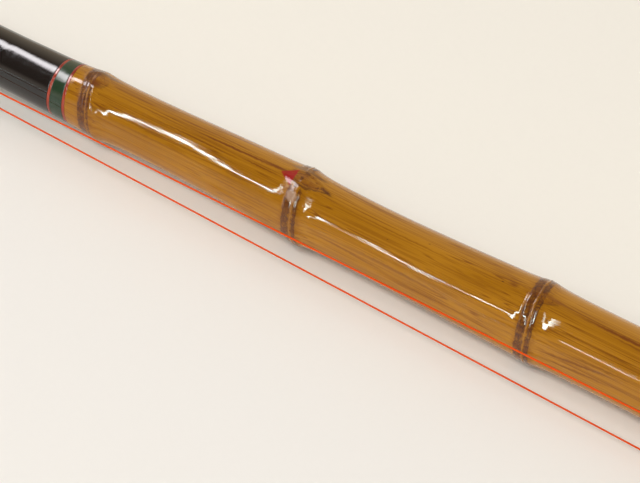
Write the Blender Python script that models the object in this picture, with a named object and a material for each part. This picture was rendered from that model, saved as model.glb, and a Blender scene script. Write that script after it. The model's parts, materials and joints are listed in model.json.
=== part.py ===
# Bamboo fishing rod in three sections, lying on its side with its line put up along the grip.
# Blender 4.5. Sizes are in millimetres and multiplied by MM where meshes are made.
# Places along the rod, called u, are measured from the middle node of the grip.
# The tip is towards -X and the butt towards +X. The rod lies level, its grip on the table.

import bmesh
import bpy
from math import cos, degrees, pi, radians, sin, sqrt
from mathutils import Vector

MM = 0.001
GAP = 0.3                    # clearance between pieces that touch

# Grip section
MOUTH_U = -186.0             # open end of the grip's socket
BUTT_U = 248.0               # sawn end of the culm at the butt
REST_RADIUS = 9.5            # the butt cap, the thickest piece round the rod
GRIP_SIDES = 28

# u and radius of the culm's body, without node ridges, from the socket to the butt
GRIP_BODY = [
    (MOUTH_U, 6.2), (-80.0, 6.5), (-66.0, 6.78), (-54.6, 7.2), (0.3, 8.05),
    (58.6, 8.75), (104.0, 8.8), (158.0, 8.8), (BUTT_U, 8.8),
]
# Each node of the grip: u, height of its ridge, slant, reach of the ridge's slope towards the
# butt, and how far the culm is drawn in behind it. The slant is how far the node moves towards
# the butt for each millimetre down the culm's side.
GRIP_NODES = [
    (-54.6, 0.33, 0.29, 2.4, 0.45), (0.3, 0.47, 0.2, 2.4, 0.45), (58.6, 0.36, 0.12, 4.0, 0.22),
    (104.0, 0.3, -0.05, 3.0, 0.25), (158.0, 0.3, 0.08, 3.0, 0.2), (196.0, 0.25, -0.06, 3.0, 0.15),
    (226.0, 0.25, 0.05, 3.0, 0.0),
]
BANDS_U, BANDS_SLANT = -63.4, 0.055      # the painted bands lean a little too
RIDGE_FRONT = 3.4            # reach of a ridge's slope towards the tip
RIDGE_REAR = 2.2             # and towards the butt, on the thinner sections
SLANT_REACH = 6.0            # how far along the rod a slant dies away
SWAY = 0.35                  # how far the culm wanders off its axis between nodes

# Sockets, tenons and the bore for the butt plug: radius of the bore and its depth
SOCKET_BORE, SOCKET_DEPTH = 4.3, 50.0
TENON_RADIUS, TENON_LENGTH = 4.0, 48.0
MIDDLE_BORE, MIDDLE_DEPTH = 2.2, 40.0
TIP_TENON_RADIUS, TIP_TENON_LENGTH = 1.9, 38.0
BUTT_BORE, BUTT_DEPTH = 3.8, 26.0
STEM_RADIUS, STEM_LENGTH = 3.5, 22.0

# Middle section
MIDDLE_MOUTH_U = -516.0
MIDDLE_SIDES = 18
MIDDLE_RADII = (4.5, 3.0)    # at its shoulder and at its mouth
MIDDLE_NODES = [-214.0, -272.0, -334.0, -398.0, -462.0]
MIDDLE_RIDGE = 0.26
MIDDLE_SEAT = 0.35           # how far its culm is drawn in under the bands of its socket

# Tip section
TIP_END_U = -804.0
TIP_SIDES = 14
TIP_RADII = (2.25, 0.65)
TIP_NODES = [-556.0, -598.0, -641.0, -684.0, -727.0, -768.0]
TIP_RIDGE = 0.17
TIP_WRAP_RADIUS = 1.6        # the wrap that binds the loop to the end of the tip

# Lacquer and thread
WRAP_THICK = 0.4             # a wrap let into the culm
COLLAR_PROUD = 0.35          # how far the thread bands at the ends stand above the culm

# Side of the rod that carries the line: its angle below level, towards -Y
LINE_SIDE_DEG = 4.8
EYE_U, EYE_HEIGHT = -176.0, 10.3         # centre of the keeper eye, height from the rod's axis
EYE_LOOP, EYE_WIRE = 1.9, 0.5            # radius of its loop and of its wire
BUTTON_U, GROOVE_HEIGHT = 130.0, 14.7
GROOVE_LINE_RADIUS = 6.0                 # radius of the line's half turn round the button
BUTTON_RADIUS = 8.0
BUTTON_SIDES = 32
BUTTON_GROOVE = 5.5          # radius of its groove
SADDLE_TOP = 12.9
SADDLE_LENGTH = 28.0
FOOT_LENGTH = 7.5
PIN_RADIUS, PIN_LENGTH, PIN_SIDES = 1.1, 9.3, 20
PIN_TOP = 19.2
PIN_HEAD_RADIUS, PIN_HEAD_THICK = 2.6, 1.0
WASHER_RADIUS, WASHER_THICK = 2.9, 0.35

# Line, knot and hook
LINE_RADIUS = 0.2
LINE_SPLIT_U = -430.0        # the line's two lengths meet here
HOOK_RADIUS = 0.25
HOOK_BEND = 0.95
LOOP_RADIUS = 0.35
LOOP_WIDE = 1.1
LOOP_HEIGHT = 3.3            # the tip loop folds over to this height beside the rod

BUTT_CAP_LENGTH = 6.5
ROD_FRONT_U = -811.0         # foremost point of the folded tip loop
ROD_REAR_U = BUTT_U + GAP + BUTT_CAP_LENGTH

# The rod's axis in the world: the model's box is centred on X and Y and stands on Z = 0
REST_DEPTH = REST_RADIUS * cos(pi / GRIP_SIDES)
AXIS_X = -(ROD_FRONT_U + ROD_REAR_U) / 2
AXIS_Y = (PIN_TOP - REST_DEPTH) / 2
AXIS_Z = REST_DEPTH

# Base colour, roughness, metallic
FINISHES = {
    "bamboo": ((0.42, 0.19, 0.035), 0.25, 0.0),
    "black_lacquer": ((0.012, 0.010, 0.009), 0.15, 0.0),
    "green_lacquer": ((0.012, 0.045, 0.020), 0.2, 0.0),
    "red_lacquer": ((0.45, 0.030, 0.015), 0.25, 0.0),
    "black_thread": ((0.020, 0.016, 0.014), 0.45, 0.0),
    "horn": ((0.055, 0.025, 0.012), 0.3, 0.0),
    "brass": ((0.55, 0.36, 0.12), 0.3, 1.0),
    "steel": ((0.45, 0.45, 0.46), 0.25, 1.0),
    "orange_line": ((0.62, 0.075, 0.010), 0.4, 0.0),
    "red_cord": ((0.38, 0.030, 0.015), 0.6, 0.0),
    "cork": ((0.36, 0.20, 0.09), 0.8, 0.0),
}


# Helpers

def empty_scene():
    for thing in list(bpy.data.objects):
        bpy.data.objects.remove(thing)


def make_materials():
    made = {}
    for name, (colour, roughness, metallic) in FINISHES.items():
        material = bpy.data.materials.new(name)
        material.use_nodes = True
        shader = material.node_tree.nodes["Principled BSDF"]
        shader.inputs["Base Color"].default_value = (*colour, 1.0)
        shader.inputs["Roughness"].default_value = roughness
        shader.inputs["Metallic"].default_value = metallic
        made[name] = material
    return made


def make_empty(name, place=(0.0, 0.0, 0.0), turn=0.0, parent=None):
    empty = bpy.data.objects.new(name, None)
    bpy.context.collection.objects.link(empty)
    empty.parent = parent
    empty.location = Vector(place) * MM
    empty.rotation_euler = (turn, 0.0, 0.0)
    return empty


def finish(name, data, finish_name, parent, place=(0.0, 0.0, 0.0)):
    data.materials.append(MATERIALS[finish_name])
    thing = bpy.data.objects.new(name, data)
    bpy.context.collection.objects.link(thing)
    thing.parent = parent
    thing.location = Vector(place) * MM
    return thing


def mesh_of(name, rings, closed):
    """A skin over rings of points: closed joins the last ring to the first, else both are capped."""
    mesh = bpy.data.meshes.new(name)
    bm = bmesh.new()
    loops = [[bm.verts.new(Vector(p) * MM) for p in ring] for ring in rings]
    pairs = list(zip(loops, loops[1:]))
    if closed:
        pairs.append((loops[-1], loops[0]))
    else:
        bm.faces.new(loops[0])
        bm.faces.new(loops[-1])
    sides = len(loops[0])
    for here, there in pairs:
        for i in range(sides):
            j = (i + 1) % sides
            bm.faces.new((here[i], here[j], there[j], there[i]))
    bmesh.ops.recalc_face_normals(bm, faces=bm.faces)
    bm.to_mesh(mesh)
    bm.free()
    mesh.shade_smooth()
    mesh.set_sharp_from_angle(angle=radians(35))
    return mesh


def ring_about_x(u, radius, sides):
    """A ring square to the rod's axis, with a flat at the bottom."""
    ring = []
    for i in range(sides):
        angle = 2 * pi * (i + 0.5) / sides - pi / 2
        ring.append((u, radius * cos(angle), radius * sin(angle)))
    return ring


def turned(name, outline, sides, finish_name, parent, closed=False):
    """A piece turned about the rod's axis from an outline of (u, radius)."""
    rings = [ring_about_x(u, radius, sides) for u, radius in outline]
    return finish(name, mesh_of(name, rings, closed), finish_name, parent)


def turned_about_z(name, outline, sides, finish_name, parent, place, closed=False):
    """A piece turned about its parent's Z axis from an outline of (radius, height)."""
    rings = []
    for radius, height in outline:
        turn = [2 * pi * (i + 0.5) / sides for i in range(sides)]
        rings.append([(radius * cos(a), radius * sin(a), height) for a in turn])
    return finish(name, mesh_of(name, rings, closed), finish_name, parent, place)


def smooth_route(points, steps):
    """Points of a Catmull-Rom curve through the route's own points; steps for each stretch."""
    route = [Vector(p) for p in points]
    padded = [route[0] * 2 - route[1], *route, route[-1] * 2 - route[-2]]
    found = []
    for i in range(1, len(padded) - 2):
        before, start, end, after = padded[i - 1:i + 3]
        for k in range(steps):
            t = k / steps
            found.append(0.5 * (
                2 * start + (end - before) * t
                + (2 * before - 5 * start + 4 * end - after) * t * t
                + (3 * start - before - 3 * end + after) * t ** 3
            ))
    found.append(route[-1])
    return found


def tube(name, points, radius, finish_name, parent, sides_each_way=2, radii=None):
    """A round cord or wire along points, with flat ends."""
    curve = bpy.data.curves.new(name, "CURVE")
    curve.dimensions = "3D"
    curve.bevel_depth = radius * MM
    curve.bevel_resolution = sides_each_way
    curve.use_fill_caps = True
    spline = curve.splines.new("POLY")
    spline.points.add(len(points) - 1)
    for i, point in enumerate(points):
        spline.points[i].co = (*(Vector(point) * MM), 1.0)
        spline.points[i].radius = radii[i] if radii else 1.0
    return finish(name, curve, finish_name, parent)


def between(table, u):
    """The value at u on straight lines between a table's (u, value) points."""
    for (u0, v0), (u1, v1) in zip(table, table[1:]):
        if u0 <= u <= u1:
            return v0 + (v1 - v0) * (u - u0) / (u1 - u0)
    return table[0][1] if u < table[0][0] else table[-1][1]


# Shape of the bamboo

def ridge(distance, height, rear_reach=RIDGE_REAR):
    """A node's ridge: a long slope on its tip side and a shorter one on its butt side."""
    reach = RIDGE_FRONT if distance < 0 else rear_reach
    return height / (1 + (distance / reach) ** 2) ** 1.5


def grip_radius(u):
    radius = between(GRIP_BODY, u)
    for place, height, _, rear_reach, _ in GRIP_NODES:
        radius += ridge(u - place, height, rear_reach)
    for node, following in zip(GRIP_NODES, GRIP_NODES[1:]):
        part = (u - node[0]) / (following[0] - node[0])
        if 0 < part < 1:
            # 27 / 4 makes the greatest value of part * (1 - part) ** 2 into 1
            radius -= node[4] * 27 / 4 * part * (1 - part) ** 2
    return radius


def grip_sway(u):
    """Height of the culm's centre off the axis: it bows up, then down, between its first nodes."""
    first, second, third = (node[0] for node in GRIP_NODES[:3])
    if first < u < second:
        return SWAY * sin(pi * (u - first) / (second - first))
    if second < u < third:
        return -SWAY * sin(pi * (u - second) / (third - second))
    return 0.0


def grip_slant(u, y, z):
    """How far a point of the grip moves along the rod where a node or the bands stand aslant."""
    places = [(node[0], node[2]) for node in GRIP_NODES] + [(BANDS_U, BANDS_SLANT)]
    down = (-y - z) / sqrt(2)
    return sum(slant * down * pow(2.0, -((u - place) / SLANT_REACH) ** 2)
               for place, slant in places)


def grip_ring(u, radius):
    """A ring of the grip, leaning as the bamboo's nodes do and centred where the culm wanders."""
    ring = ring_about_x(u, radius, GRIP_SIDES)
    return [(x + grip_slant(u, y, z), y, z + grip_sway(u)) for x, y, z in ring]


def node_stations(nodes, start, end, near, spacing):
    """Stations along a culm: close together at each node and spaced evenly between nodes."""
    stations = {start, end}
    for place in nodes:
        stations.update(place + step for step in near if start < place + step < end)
    fixed = sorted(stations)
    for a, b in zip(fixed, fixed[1:]):
        count = int((b - a) / spacing)
        stations.update(a + (b - a) * k / (count + 1) for k in range(1, count + 1))
    return sorted(stations)


# Bands let into the culm of the grip: name, front and rear u, finish
GRIP_BANDS = [
    ("mouth_wrap", MOUTH_U, -180.6, "black_thread"),
    ("mouth_red_ring", -180.3, -179.1, "red_lacquer"),
    ("black_socket_wrap", -178.8, -66.1, "black_lacquer"),
    ("front_red_ring", -65.8, -65.0, "red_lacquer"),
    ("green_band", -64.7, -62.0, "green_lacquer"),
    ("rear_red_ring", -61.7, -61.0, "red_lacquer"),
    ("butt_red_ring", 237.2, 238.4, "red_lacquer"),
    ("butt_wrap", 238.7, BUTT_U - GAP, "black_thread"),
]
FRONT_RECESS_END = -60.7
BUTT_RECESS_START = 236.9
BAND_EDGE = 0.12             # bevel at a band's edges
BAND_STATIONS = (-80.0, -73.0, -69.0)    # extra rings of the long black wrap


def make_grip(axis):
    recess = WRAP_THICK + GAP
    recessed = [MOUTH_U, *BAND_STATIONS, FRONT_RECESS_END]
    near = (-6.5, -3.4, -1.4, 0.0, 1.2, 2.6, 5.0)
    nodes = [node[0] for node in GRIP_NODES]
    stations = node_stations(nodes, FRONT_RECESS_END, BUTT_RECESS_START, near, 13.0)
    outer = [(u, grip_radius(u) - recess) for u in recessed]
    outer += [(u, grip_radius(u)) for u in stations]
    outer += [(u, grip_radius(u) - recess) for u in (BUTT_RECESS_START, BUTT_U)]
    socket = [(MOUTH_U + SOCKET_DEPTH, SOCKET_BORE), (MOUTH_U, SOCKET_BORE)]
    bore = [(BUTT_U, BUTT_BORE), (BUTT_U - BUTT_DEPTH, BUTT_BORE)]
    rings = [ring_about_x(u, radius, GRIP_SIDES) for u, radius in socket]
    rings += [grip_ring(u, radius) for u, radius in outer]
    rings += [ring_about_x(u, radius, GRIP_SIDES) for u, radius in bore]
    finish("grip_culm", mesh_of("grip_culm", rings, False), "bamboo", axis)
    for band in GRIP_BANDS:
        make_grip_band(axis, *band)


def make_grip_band(axis, name, front, rear, finish_name):
    proud = COLLAR_PROUD if name == "mouth_wrap" else 0.0
    between_ends = [u for u in BAND_STATIONS if front < u < rear]
    outline = [(front, grip_radius(front) + proud - BAND_EDGE)]
    for u in (front + BAND_EDGE, *between_ends, rear - BAND_EDGE):
        outline.append((u, grip_radius(u) + proud))
    outline.append((rear, grip_radius(rear) + proud - BAND_EDGE))
    for u in (rear, *reversed(between_ends), front):
        outline.append((u, grip_radius(u) - WRAP_THICK))
    rings = [grip_ring(u, radius) for u, radius in outline]
    finish(name, mesh_of(name, rings, True), finish_name, axis)


def make_butt(plug):
    stem_front = BUTT_U + GAP - STEM_LENGTH
    stem = [(stem_front, STEM_RADIUS - 0.5), (stem_front + 0.8, STEM_RADIUS)]
    stem += [(BUTT_U + GAP + 2.5, STEM_RADIUS), (BUTT_U + GAP + 3.0, STEM_RADIUS - 0.4)]
    turned("butt_plug_stem", stem, 16, "cork", plug)
    face = BUTT_U + GAP
    rear = ROD_REAR_U
    cap = [(face + 3.4, STEM_RADIUS + GAP), (face, STEM_RADIUS + GAP), (face, 8.6)]
    cap += [(face + 0.6, 9.3), (face + 2.2, REST_RADIUS), (face + 4.2, 9.1)]
    cap += [(face + 5.6, 8.1), (rear, 6.6)]
    turned("butt_cap", cap, GRIP_SIDES, "horn", plug)


# Thinner sections

def taper(u, thick_u, thin_u, radii):
    part = (thick_u - u) / (thick_u - thin_u)
    return radii[0] + (radii[1] - radii[0]) * part


def middle_radius(u):
    radius = taper(u, MOUTH_U, MIDDLE_MOUTH_U, MIDDLE_RADII)
    return radius + sum(ridge(u - place, MIDDLE_RIDGE) for place in MIDDLE_NODES)


def tip_radius(u):
    radius = taper(u, MIDDLE_MOUTH_U, TIP_END_U, TIP_RADII)
    return radius + sum(ridge(u - place, TIP_RIDGE) for place in TIP_NODES)


# Bands of thread and lacquer on the thinner sections: name, (front, rear) u, thickness, finish
MIDDLE_BANDS = [
    ("middle_mouth_wrap", (MIDDLE_MOUTH_U, -511.8), 0.6, "black_thread"),
    ("middle_ring_front", (-511.5, -510.5), 0.35, "red_lacquer"),
    ("middle_socket_wrap", (-510.2, -473.0), 0.35, "black_lacquer"),
    ("middle_ring_rear", (-472.7, -471.7), 0.35, "red_lacquer"),
]
MIDDLE_SEAT_END = -471.4
MIDDLE_BASE_WRAP = (-199.0, MOUTH_U - 1.0)
TIP_BANDS = [
    ("tip_base_wrap", (-527.5, MIDDLE_MOUTH_U - 1.0), 0.35, "black_thread"),
    ("tip_red_ring", (-529.0, -527.8), 0.2, "red_lacquer"),
    ("tip_splice_wrap", (-712.0, -700.0), 0.3, "black_thread"),
]


def middle_seat(u):
    return middle_radius(u) - MIDDLE_SEAT


def collar(name, span, radius_at, thick, sides, finish_name, parent):
    """A band wound over a culm, its edges rounded."""
    front, rear = span
    edge = thick * 0.4
    outline = [(front, radius_at(front) + GAP + thick - edge)]
    outline.append((front + edge, radius_at(front) + GAP + thick))
    outline.append((rear - edge, radius_at(rear) + GAP + thick))
    outline.append((rear, radius_at(rear) + GAP + thick - edge))
    outline += [(rear, radius_at(rear) + GAP), (front, radius_at(front) + GAP)]
    turned(name, outline, sides, finish_name, parent, closed=True)


def make_middle(middle):
    front = MIDDLE_MOUTH_U
    shoulder = MOUTH_U - GAP
    near = (-4.0, -1.5, 0.0, 1.2, 3.5)
    stations = node_stations(MIDDLE_NODES[::-1], MIDDLE_SEAT_END, shoulder, near, 24.0)
    outline = [(front + MIDDLE_DEPTH, MIDDLE_BORE), (front, MIDDLE_BORE)]
    outline += [(u, middle_seat(u)) for u in (front, MIDDLE_SEAT_END)]
    outline += [(u, middle_radius(u)) for u in stations]
    outline.append((shoulder, TENON_RADIUS))
    outline.append((shoulder + TENON_LENGTH - 1.0, TENON_RADIUS))
    outline.append((shoulder + TENON_LENGTH, TENON_RADIUS - 0.6))
    turned("middle_culm", outline, MIDDLE_SIDES, "bamboo", middle)
    for name, span, thick, finish_name in MIDDLE_BANDS:
        collar(name, span, middle_seat, thick, MIDDLE_SIDES, finish_name, middle)
    collar("middle_base_wrap", MIDDLE_BASE_WRAP, middle_radius, 0.4, MIDDLE_SIDES,
           "black_thread", middle)


def make_tip(tip):
    shoulder = MIDDLE_MOUTH_U - GAP
    near = (-2.5, -1.0, 0.0, 0.9, 2.2)
    stations = node_stations(TIP_NODES[::-1], TIP_END_U, shoulder, near, 24.0)
    outline = [(u, tip_radius(u)) for u in stations]
    outline.append((shoulder, TIP_TENON_RADIUS))
    outline.append((shoulder + TIP_TENON_LENGTH - 0.8, TIP_TENON_RADIUS))
    outline.append((shoulder + TIP_TENON_LENGTH, TIP_TENON_RADIUS - 0.4))
    turned("tip_culm", outline, TIP_SIDES, "bamboo", tip)
    for name, span, thick, finish_name in TIP_BANDS:
        collar(name, span, tip_radius, thick, TIP_SIDES, finish_name, tip)
    front, rear = TIP_END_U - 4.0, TIP_END_U + 8.0
    inner = TIP_WRAP_RADIUS - 0.35
    outline = [(front, TIP_WRAP_RADIUS - 0.2), (front + 0.3, TIP_WRAP_RADIUS)]
    outline += [(rear - 1.5, TIP_WRAP_RADIUS), (rear, inner + 0.12)]
    outline += [(rear, inner), (front, inner)]
    turned("tip_loop_wrap", outline, TIP_SIDES, "red_cord", tip, closed=True)


# Fittings on the line's side. In this frame x is u, z is the height from the rod's axis
# and y runs round the rod, upwards.
FOOT_WRAP_THICK, FOOT_WRAP_EDGE, FOOT_WRAP_SIDES = 0.4, 0.2, 36
KEEPER_WRAP = (-171.0, -159.0)
KEEPER_HUMP = 1.35           # how far the thread rises over the keeper's foot
SADDLE_HUMP = 1.75           # and over the saddle's feet
KEEPER_HALF_DEG, SADDLE_HALF_DEG = 10.0, 18.0       # half width of each hump's top
SADDLE_WRAP_LENGTH = 5.0


def foot_wrap(name, front, rear, hump, half_deg, parent):
    """A band of thread that holds a foot down: a sleeve with a hump over the foot."""
    slope_deg = half_deg * 1.6

    def ring(u, out):
        points = []
        for i in range(FOOT_WRAP_SIDES):
            angle = 2 * pi * (i + 0.5) / FOOT_WRAP_SIDES
            off_deg = degrees(min(angle, 2 * pi - angle))
            rise = min(1.0, max(0.0, 1 - (off_deg - half_deg) / slope_deg))
            radius = grip_radius(u) + GAP + out + hump * rise * rise * (3 - 2 * rise)
            points.append((u, radius * sin(angle), radius * cos(angle)))
        return points

    thick = FOOT_WRAP_THICK
    rings = [ring(front, thick / 2), ring(front + FOOT_WRAP_EDGE, thick)]
    rings += [ring(rear - FOOT_WRAP_EDGE, thick), ring(rear, thick / 2)]
    rings += [ring(rear, 0.0), ring(front, 0.0)]
    finish(name, mesh_of(name, rings, True), "black_thread", parent)


def make_keeper(side):
    wrap_front, wrap_rear = KEEPER_WRAP
    foot_height = grip_radius((wrap_front + wrap_rear) / 2) + GAP + EYE_WIRE
    foot = (wrap_rear + 1.5, wrap_rear - 3.0, wrap_front + 4.0, wrap_front - 0.6)
    route = [(u, 0.0, foot_height) for u in foot]
    route.append((wrap_front - 2.8, -0.1, foot_height + 0.35))
    turns = 12
    for k in range(turns + 1):
        angle = radians(-90 + 335 * k / turns)
        drift = 0.65 - 1.3 * k / turns
        route.append((
            EYE_U + drift, -EYE_LOOP * cos(angle), EYE_HEIGHT + EYE_LOOP * sin(angle)
        ))
    tube("keeper_eye", smooth_route(route, 2), EYE_WIRE, "brass", side)
    foot_wrap("keeper_wrap", wrap_front, wrap_rear, KEEPER_HUMP, KEEPER_HALF_DEG, side)


def make_saddle(side):
    half = SADDLE_LENGTH / 2
    body = half - FOOT_LENGTH
    # distance from the pin, half width, height of the top above the culm (None: the flat top)
    sections = [(-half, 1.6, 0.45), (-half + 0.8, 2.1, 0.8), (-body - 1.2, 2.5, 0.9)]
    sections += [(-body, 3.6, 2.2), (-body + 1.4, 4.2, None)]
    sections += [(-x, width, rise) for x, width, rise in reversed(sections)]
    rings = []
    for x, width, rise in sections:
        u = BUTTON_U + x
        base = grip_radius(u) + GAP
        top = SADDLE_TOP if rise is None else base + rise
        ring = []
        for k in range(7):
            y = width * (k / 3.0 - 1.0)
            ring.append((u, y, sqrt(base * base - y * y)))
        ring += [(u, width, top - 0.25), (u, width * 0.8, top)]
        ring += [(u, -width * 0.8, top), (u, -width, top - 0.25)]
        rings.append(ring)
    saddle = finish("button_saddle", mesh_of("button_saddle", rings, False), "horn", side)

    bpy.ops.mesh.primitive_cylinder_add(vertices=20, radius=(PIN_RADIUS + GAP) * MM,
                                        depth=12.0 * MM)
    cutter = bpy.context.object
    cutter.name = "saddle_hole_cutter"
    cutter.parent = side
    cutter.location = Vector((BUTTON_U, 0.0, SADDLE_TOP)) * MM
    cutter.hide_render = True
    cutter.display_type = "WIRE"
    hole = saddle.modifiers.new("pin_hole", "BOOLEAN")
    hole.object = cutter
    hole.operation = "DIFFERENCE"

    front = BUTTON_U - half + 1.0
    rear = BUTTON_U + half - 1.0 - SADDLE_WRAP_LENGTH
    for name, start in (("saddle_wrap_front", front), ("saddle_wrap_rear", rear)):
        foot_wrap(name, start, start + SADDLE_WRAP_LENGTH, SADDLE_HUMP, SADDLE_HALF_DEG, side)


def make_button(side, spin):
    place = (BUTTON_U, 0.0, 0.0)
    foot = PIN_TOP - PIN_LENGTH
    head = PIN_TOP - PIN_HEAD_THICK
    pin = [(PIN_RADIUS - 0.2, foot), (PIN_RADIUS, foot + 0.3), (PIN_RADIUS, head)]
    pin += [(PIN_HEAD_RADIUS, head), (PIN_HEAD_RADIUS - 0.1, head + 0.5), (1.6, PIN_TOP)]
    turned_about_z("button_pin", pin, PIN_SIDES, "brass", side, place)
    hole = PIN_RADIUS + GAP
    top = head - 0.25
    low = top - WASHER_THICK
    washer = [(WASHER_RADIUS, low), (WASHER_RADIUS, top), (hole, top), (hole, low)]
    turned_about_z("button_washer", washer, PIN_SIDES, "brass", side, place, closed=True)
    rim = BUTTON_RADIUS
    base = SADDLE_TOP + GAP
    outline = [(rim - 0.6, base), (rim, base + 0.25), (rim - 0.1, base + 0.6)]
    groove = BUTTON_GROOVE
    outline += [(groove + 0.25, GROOVE_HEIGHT - 0.5), (groove, GROOVE_HEIGHT)]
    outline += [(groove + 0.25, GROOVE_HEIGHT + 0.5)]
    outline += [(rim - 0.1, GROOVE_HEIGHT + 1.0), (rim, GROOVE_HEIGHT + 1.5)]
    outline += [(rim - 0.4, GROOVE_HEIGHT + 2.1), (5.6, GROOVE_HEIGHT + 2.55)]
    outline += [(hole, GROOVE_HEIGHT + 2.6), (hole, base)]
    turned_about_z("line_button", outline, BUTTON_SIDES, "horn", spin, (0.0, 0.0, 0.0),
                   closed=True)


# The line. Its points are (u, y, height) in the frame of the line's side.
# It runs from the hook on the keeper eye, round the button, back through the eye to the tip.
HOOK_LINE = (EYE_U, -0.35, 11.15)        # where the hooked strand crosses the eye
THROUGH_LINE = (EYE_U, 0.5, 10.7)        # where the strand to the tip goes through the eye
LINE_KNOT_U = -800.6
SNELL = (-170.0, -165.6)                 # the thread that ties the line to the hook


def along(start, end, u):
    """The point at u on the straight line from start to end."""
    part = (u - start[0]) / (end[0] - start[0])
    return tuple(a + (b - a) * part for a, b in zip(start, end))


def make_line(side, tip_side):
    lower = (BUTTON_U, -GROOVE_LINE_RADIUS, GROOVE_HEIGHT)
    upper = (BUTTON_U, GROOVE_LINE_RADIUS, GROOVE_HEIGHT)
    knot = (LINE_KNOT_U, 0.0, LOOP_HEIGHT)
    start = SNELL[1] + GAP
    points = [along(HOOK_LINE, lower, u) for u in (start, -120.0, -60.0, 0.0, 60.0, 110.0)]
    turns = 24
    for k in range(turns + 1):
        angle = pi * k / turns
        points.append((
            BUTTON_U + GROOVE_LINE_RADIUS * sin(angle), -GROOVE_LINE_RADIUS * cos(angle),
            GROOVE_HEIGHT
        ))
    points += [along(THROUGH_LINE, upper, u) for u in (110.0, 60.0, 0.0, -60.0, -120.0, -165.0)]
    points.append(THROUGH_LINE)
    points += [along(THROUGH_LINE, knot, u) for u in (-187.0, -240.0, -300.0, LINE_SPLIT_U)]
    tube("line_grip_run", points, LINE_RADIUS, "orange_line", side)
    places = [LINE_SPLIT_U - GAP - (LINE_SPLIT_U - GAP - LINE_KNOT_U) * k / 8 for k in range(9)]
    points = [along(THROUGH_LINE, knot, u) for u in places]
    tube("line_tip_run", points, LINE_RADIUS, "orange_line", tip_side)


def make_hook(side):
    lower = (BUTTON_U, -GROOVE_LINE_RADIUS, GROOVE_HEIGHT)
    rear = SNELL[1] - 0.1
    points = [along(HOOK_LINE, lower, u) for u in (rear, -168.5, -171.5, -174.0, EYE_U + 0.05)]
    radii = [0.8, 1.0, 1.0, 1.0, 1.0]
    bend_u, y, shank = points[-1]
    turns = 10
    for k in range(1, turns + 1):
        angle = pi * k / turns
        points.append((bend_u - HOOK_BEND * sin(angle), y,
                       shank + HOOK_BEND * (1 - cos(angle))))
        radii.append(1.0)
    points += [(bend_u + 1.2, y, shank + 2 * HOOK_BEND + 0.1)]
    points += [(bend_u + 2.6, y, shank + 2 * HOOK_BEND + 0.3)]
    radii += [0.9, 0.12]
    tube("hook", points, HOOK_RADIUS, "steel", side, radii=radii)

    front, rear = SNELL
    outer, inner, sides = 0.85, HOOK_RADIUS + GAP, 12
    outline = [(front, outer - 0.2), (front + 0.4, outer), (rear - 0.3, outer)]
    outline += [(rear, outer - 0.2), (rear, inner), (front, inner)]
    turn = [2 * pi * i / sides for i in range(sides)]
    rings = []
    for u, radius in outline:
        _, y, z = along(HOOK_LINE, lower, u)
        rings.append([(u, y + radius * cos(a), z + radius * sin(a)) for a in turn])
    finish("hook_snell", mesh_of("hook_snell", rings, True), "red_cord", side)


def make_tip_loop(tip_side):
    """A cord loop bound to the end of the tip and folded over, and the line's knot on it."""
    leg = [(TIP_END_U - 0.4, 0.5, 0.0), (TIP_END_U - 3.5, 0.55, 0.0)]
    leg += [(TIP_END_U - 5.6, 0.7, 0.5), (TIP_END_U - 6.6, 0.85, LOOP_HEIGHT / 2)]
    leg += [(TIP_END_U - 5.6, 1.0, LOOP_HEIGHT - 0.5), (TIP_END_U - 3.5, LOOP_WIDE, LOOP_HEIGHT)]
    bend = []
    for k in range(7):
        angle = pi * k / 6
        bend.append((TIP_END_U - 2.0 + LOOP_WIDE * sin(angle), LOOP_WIDE * cos(angle),
                     LOOP_HEIGHT))
    back = [(u, -y, z) for u, y, z in reversed(leg)]
    tube("tip_loop", smooth_route(leg + bend + back, 2), LOOP_RADIUS, "red_cord", tip_side)

    eye_u, eye = TIP_END_U - 0.6, 1.0
    points = [(LINE_KNOT_U - GAP, 0.0, LOOP_HEIGHT), (LINE_KNOT_U - 0.6, 0.0, LOOP_HEIGHT)]
    points += [(LINE_KNOT_U - 2.0, 0.0, LOOP_HEIGHT), (LINE_KNOT_U - 2.4, 0.0, LOOP_HEIGHT)]
    radii = [1.6, 2.9, 2.9, 1.3]
    turns = 14
    for k in range(turns + 1):
        angle = radians(322 * k / turns)
        points.append((eye_u + eye * cos(angle), 0.0, LOOP_HEIGHT + eye * sin(angle)))
        radii.append(1.0)
    tube("line_knot", points, 0.22, "orange_line", tip_side, radii=radii)


empty_scene()
MATERIALS = make_materials()

rod_axis = make_empty("rod_axis", (AXIS_X, AXIS_Y, AXIS_Z))
middle_axis = make_empty("middle_axis", parent=rod_axis)
tip_axis = make_empty("tip_axis", parent=middle_axis)
plug_axis = make_empty("plug_axis", parent=rod_axis)
side_turn = radians(90 + LINE_SIDE_DEG)
line_side = make_empty("line_side", turn=side_turn, parent=rod_axis)
tip_line_side = make_empty("tip_line_side", turn=side_turn, parent=tip_axis)
button_axis = make_empty("button_axis", (BUTTON_U, 0.0, 0.0), parent=line_side)

make_grip(rod_axis)
make_butt(plug_axis)
make_middle(middle_axis)
make_tip(tip_axis)
make_keeper(line_side)
make_saddle(line_side)
make_button(line_side, button_axis)
make_line(line_side, tip_line_side)
make_hook(line_side)
make_tip_loop(tip_line_side)
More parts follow.
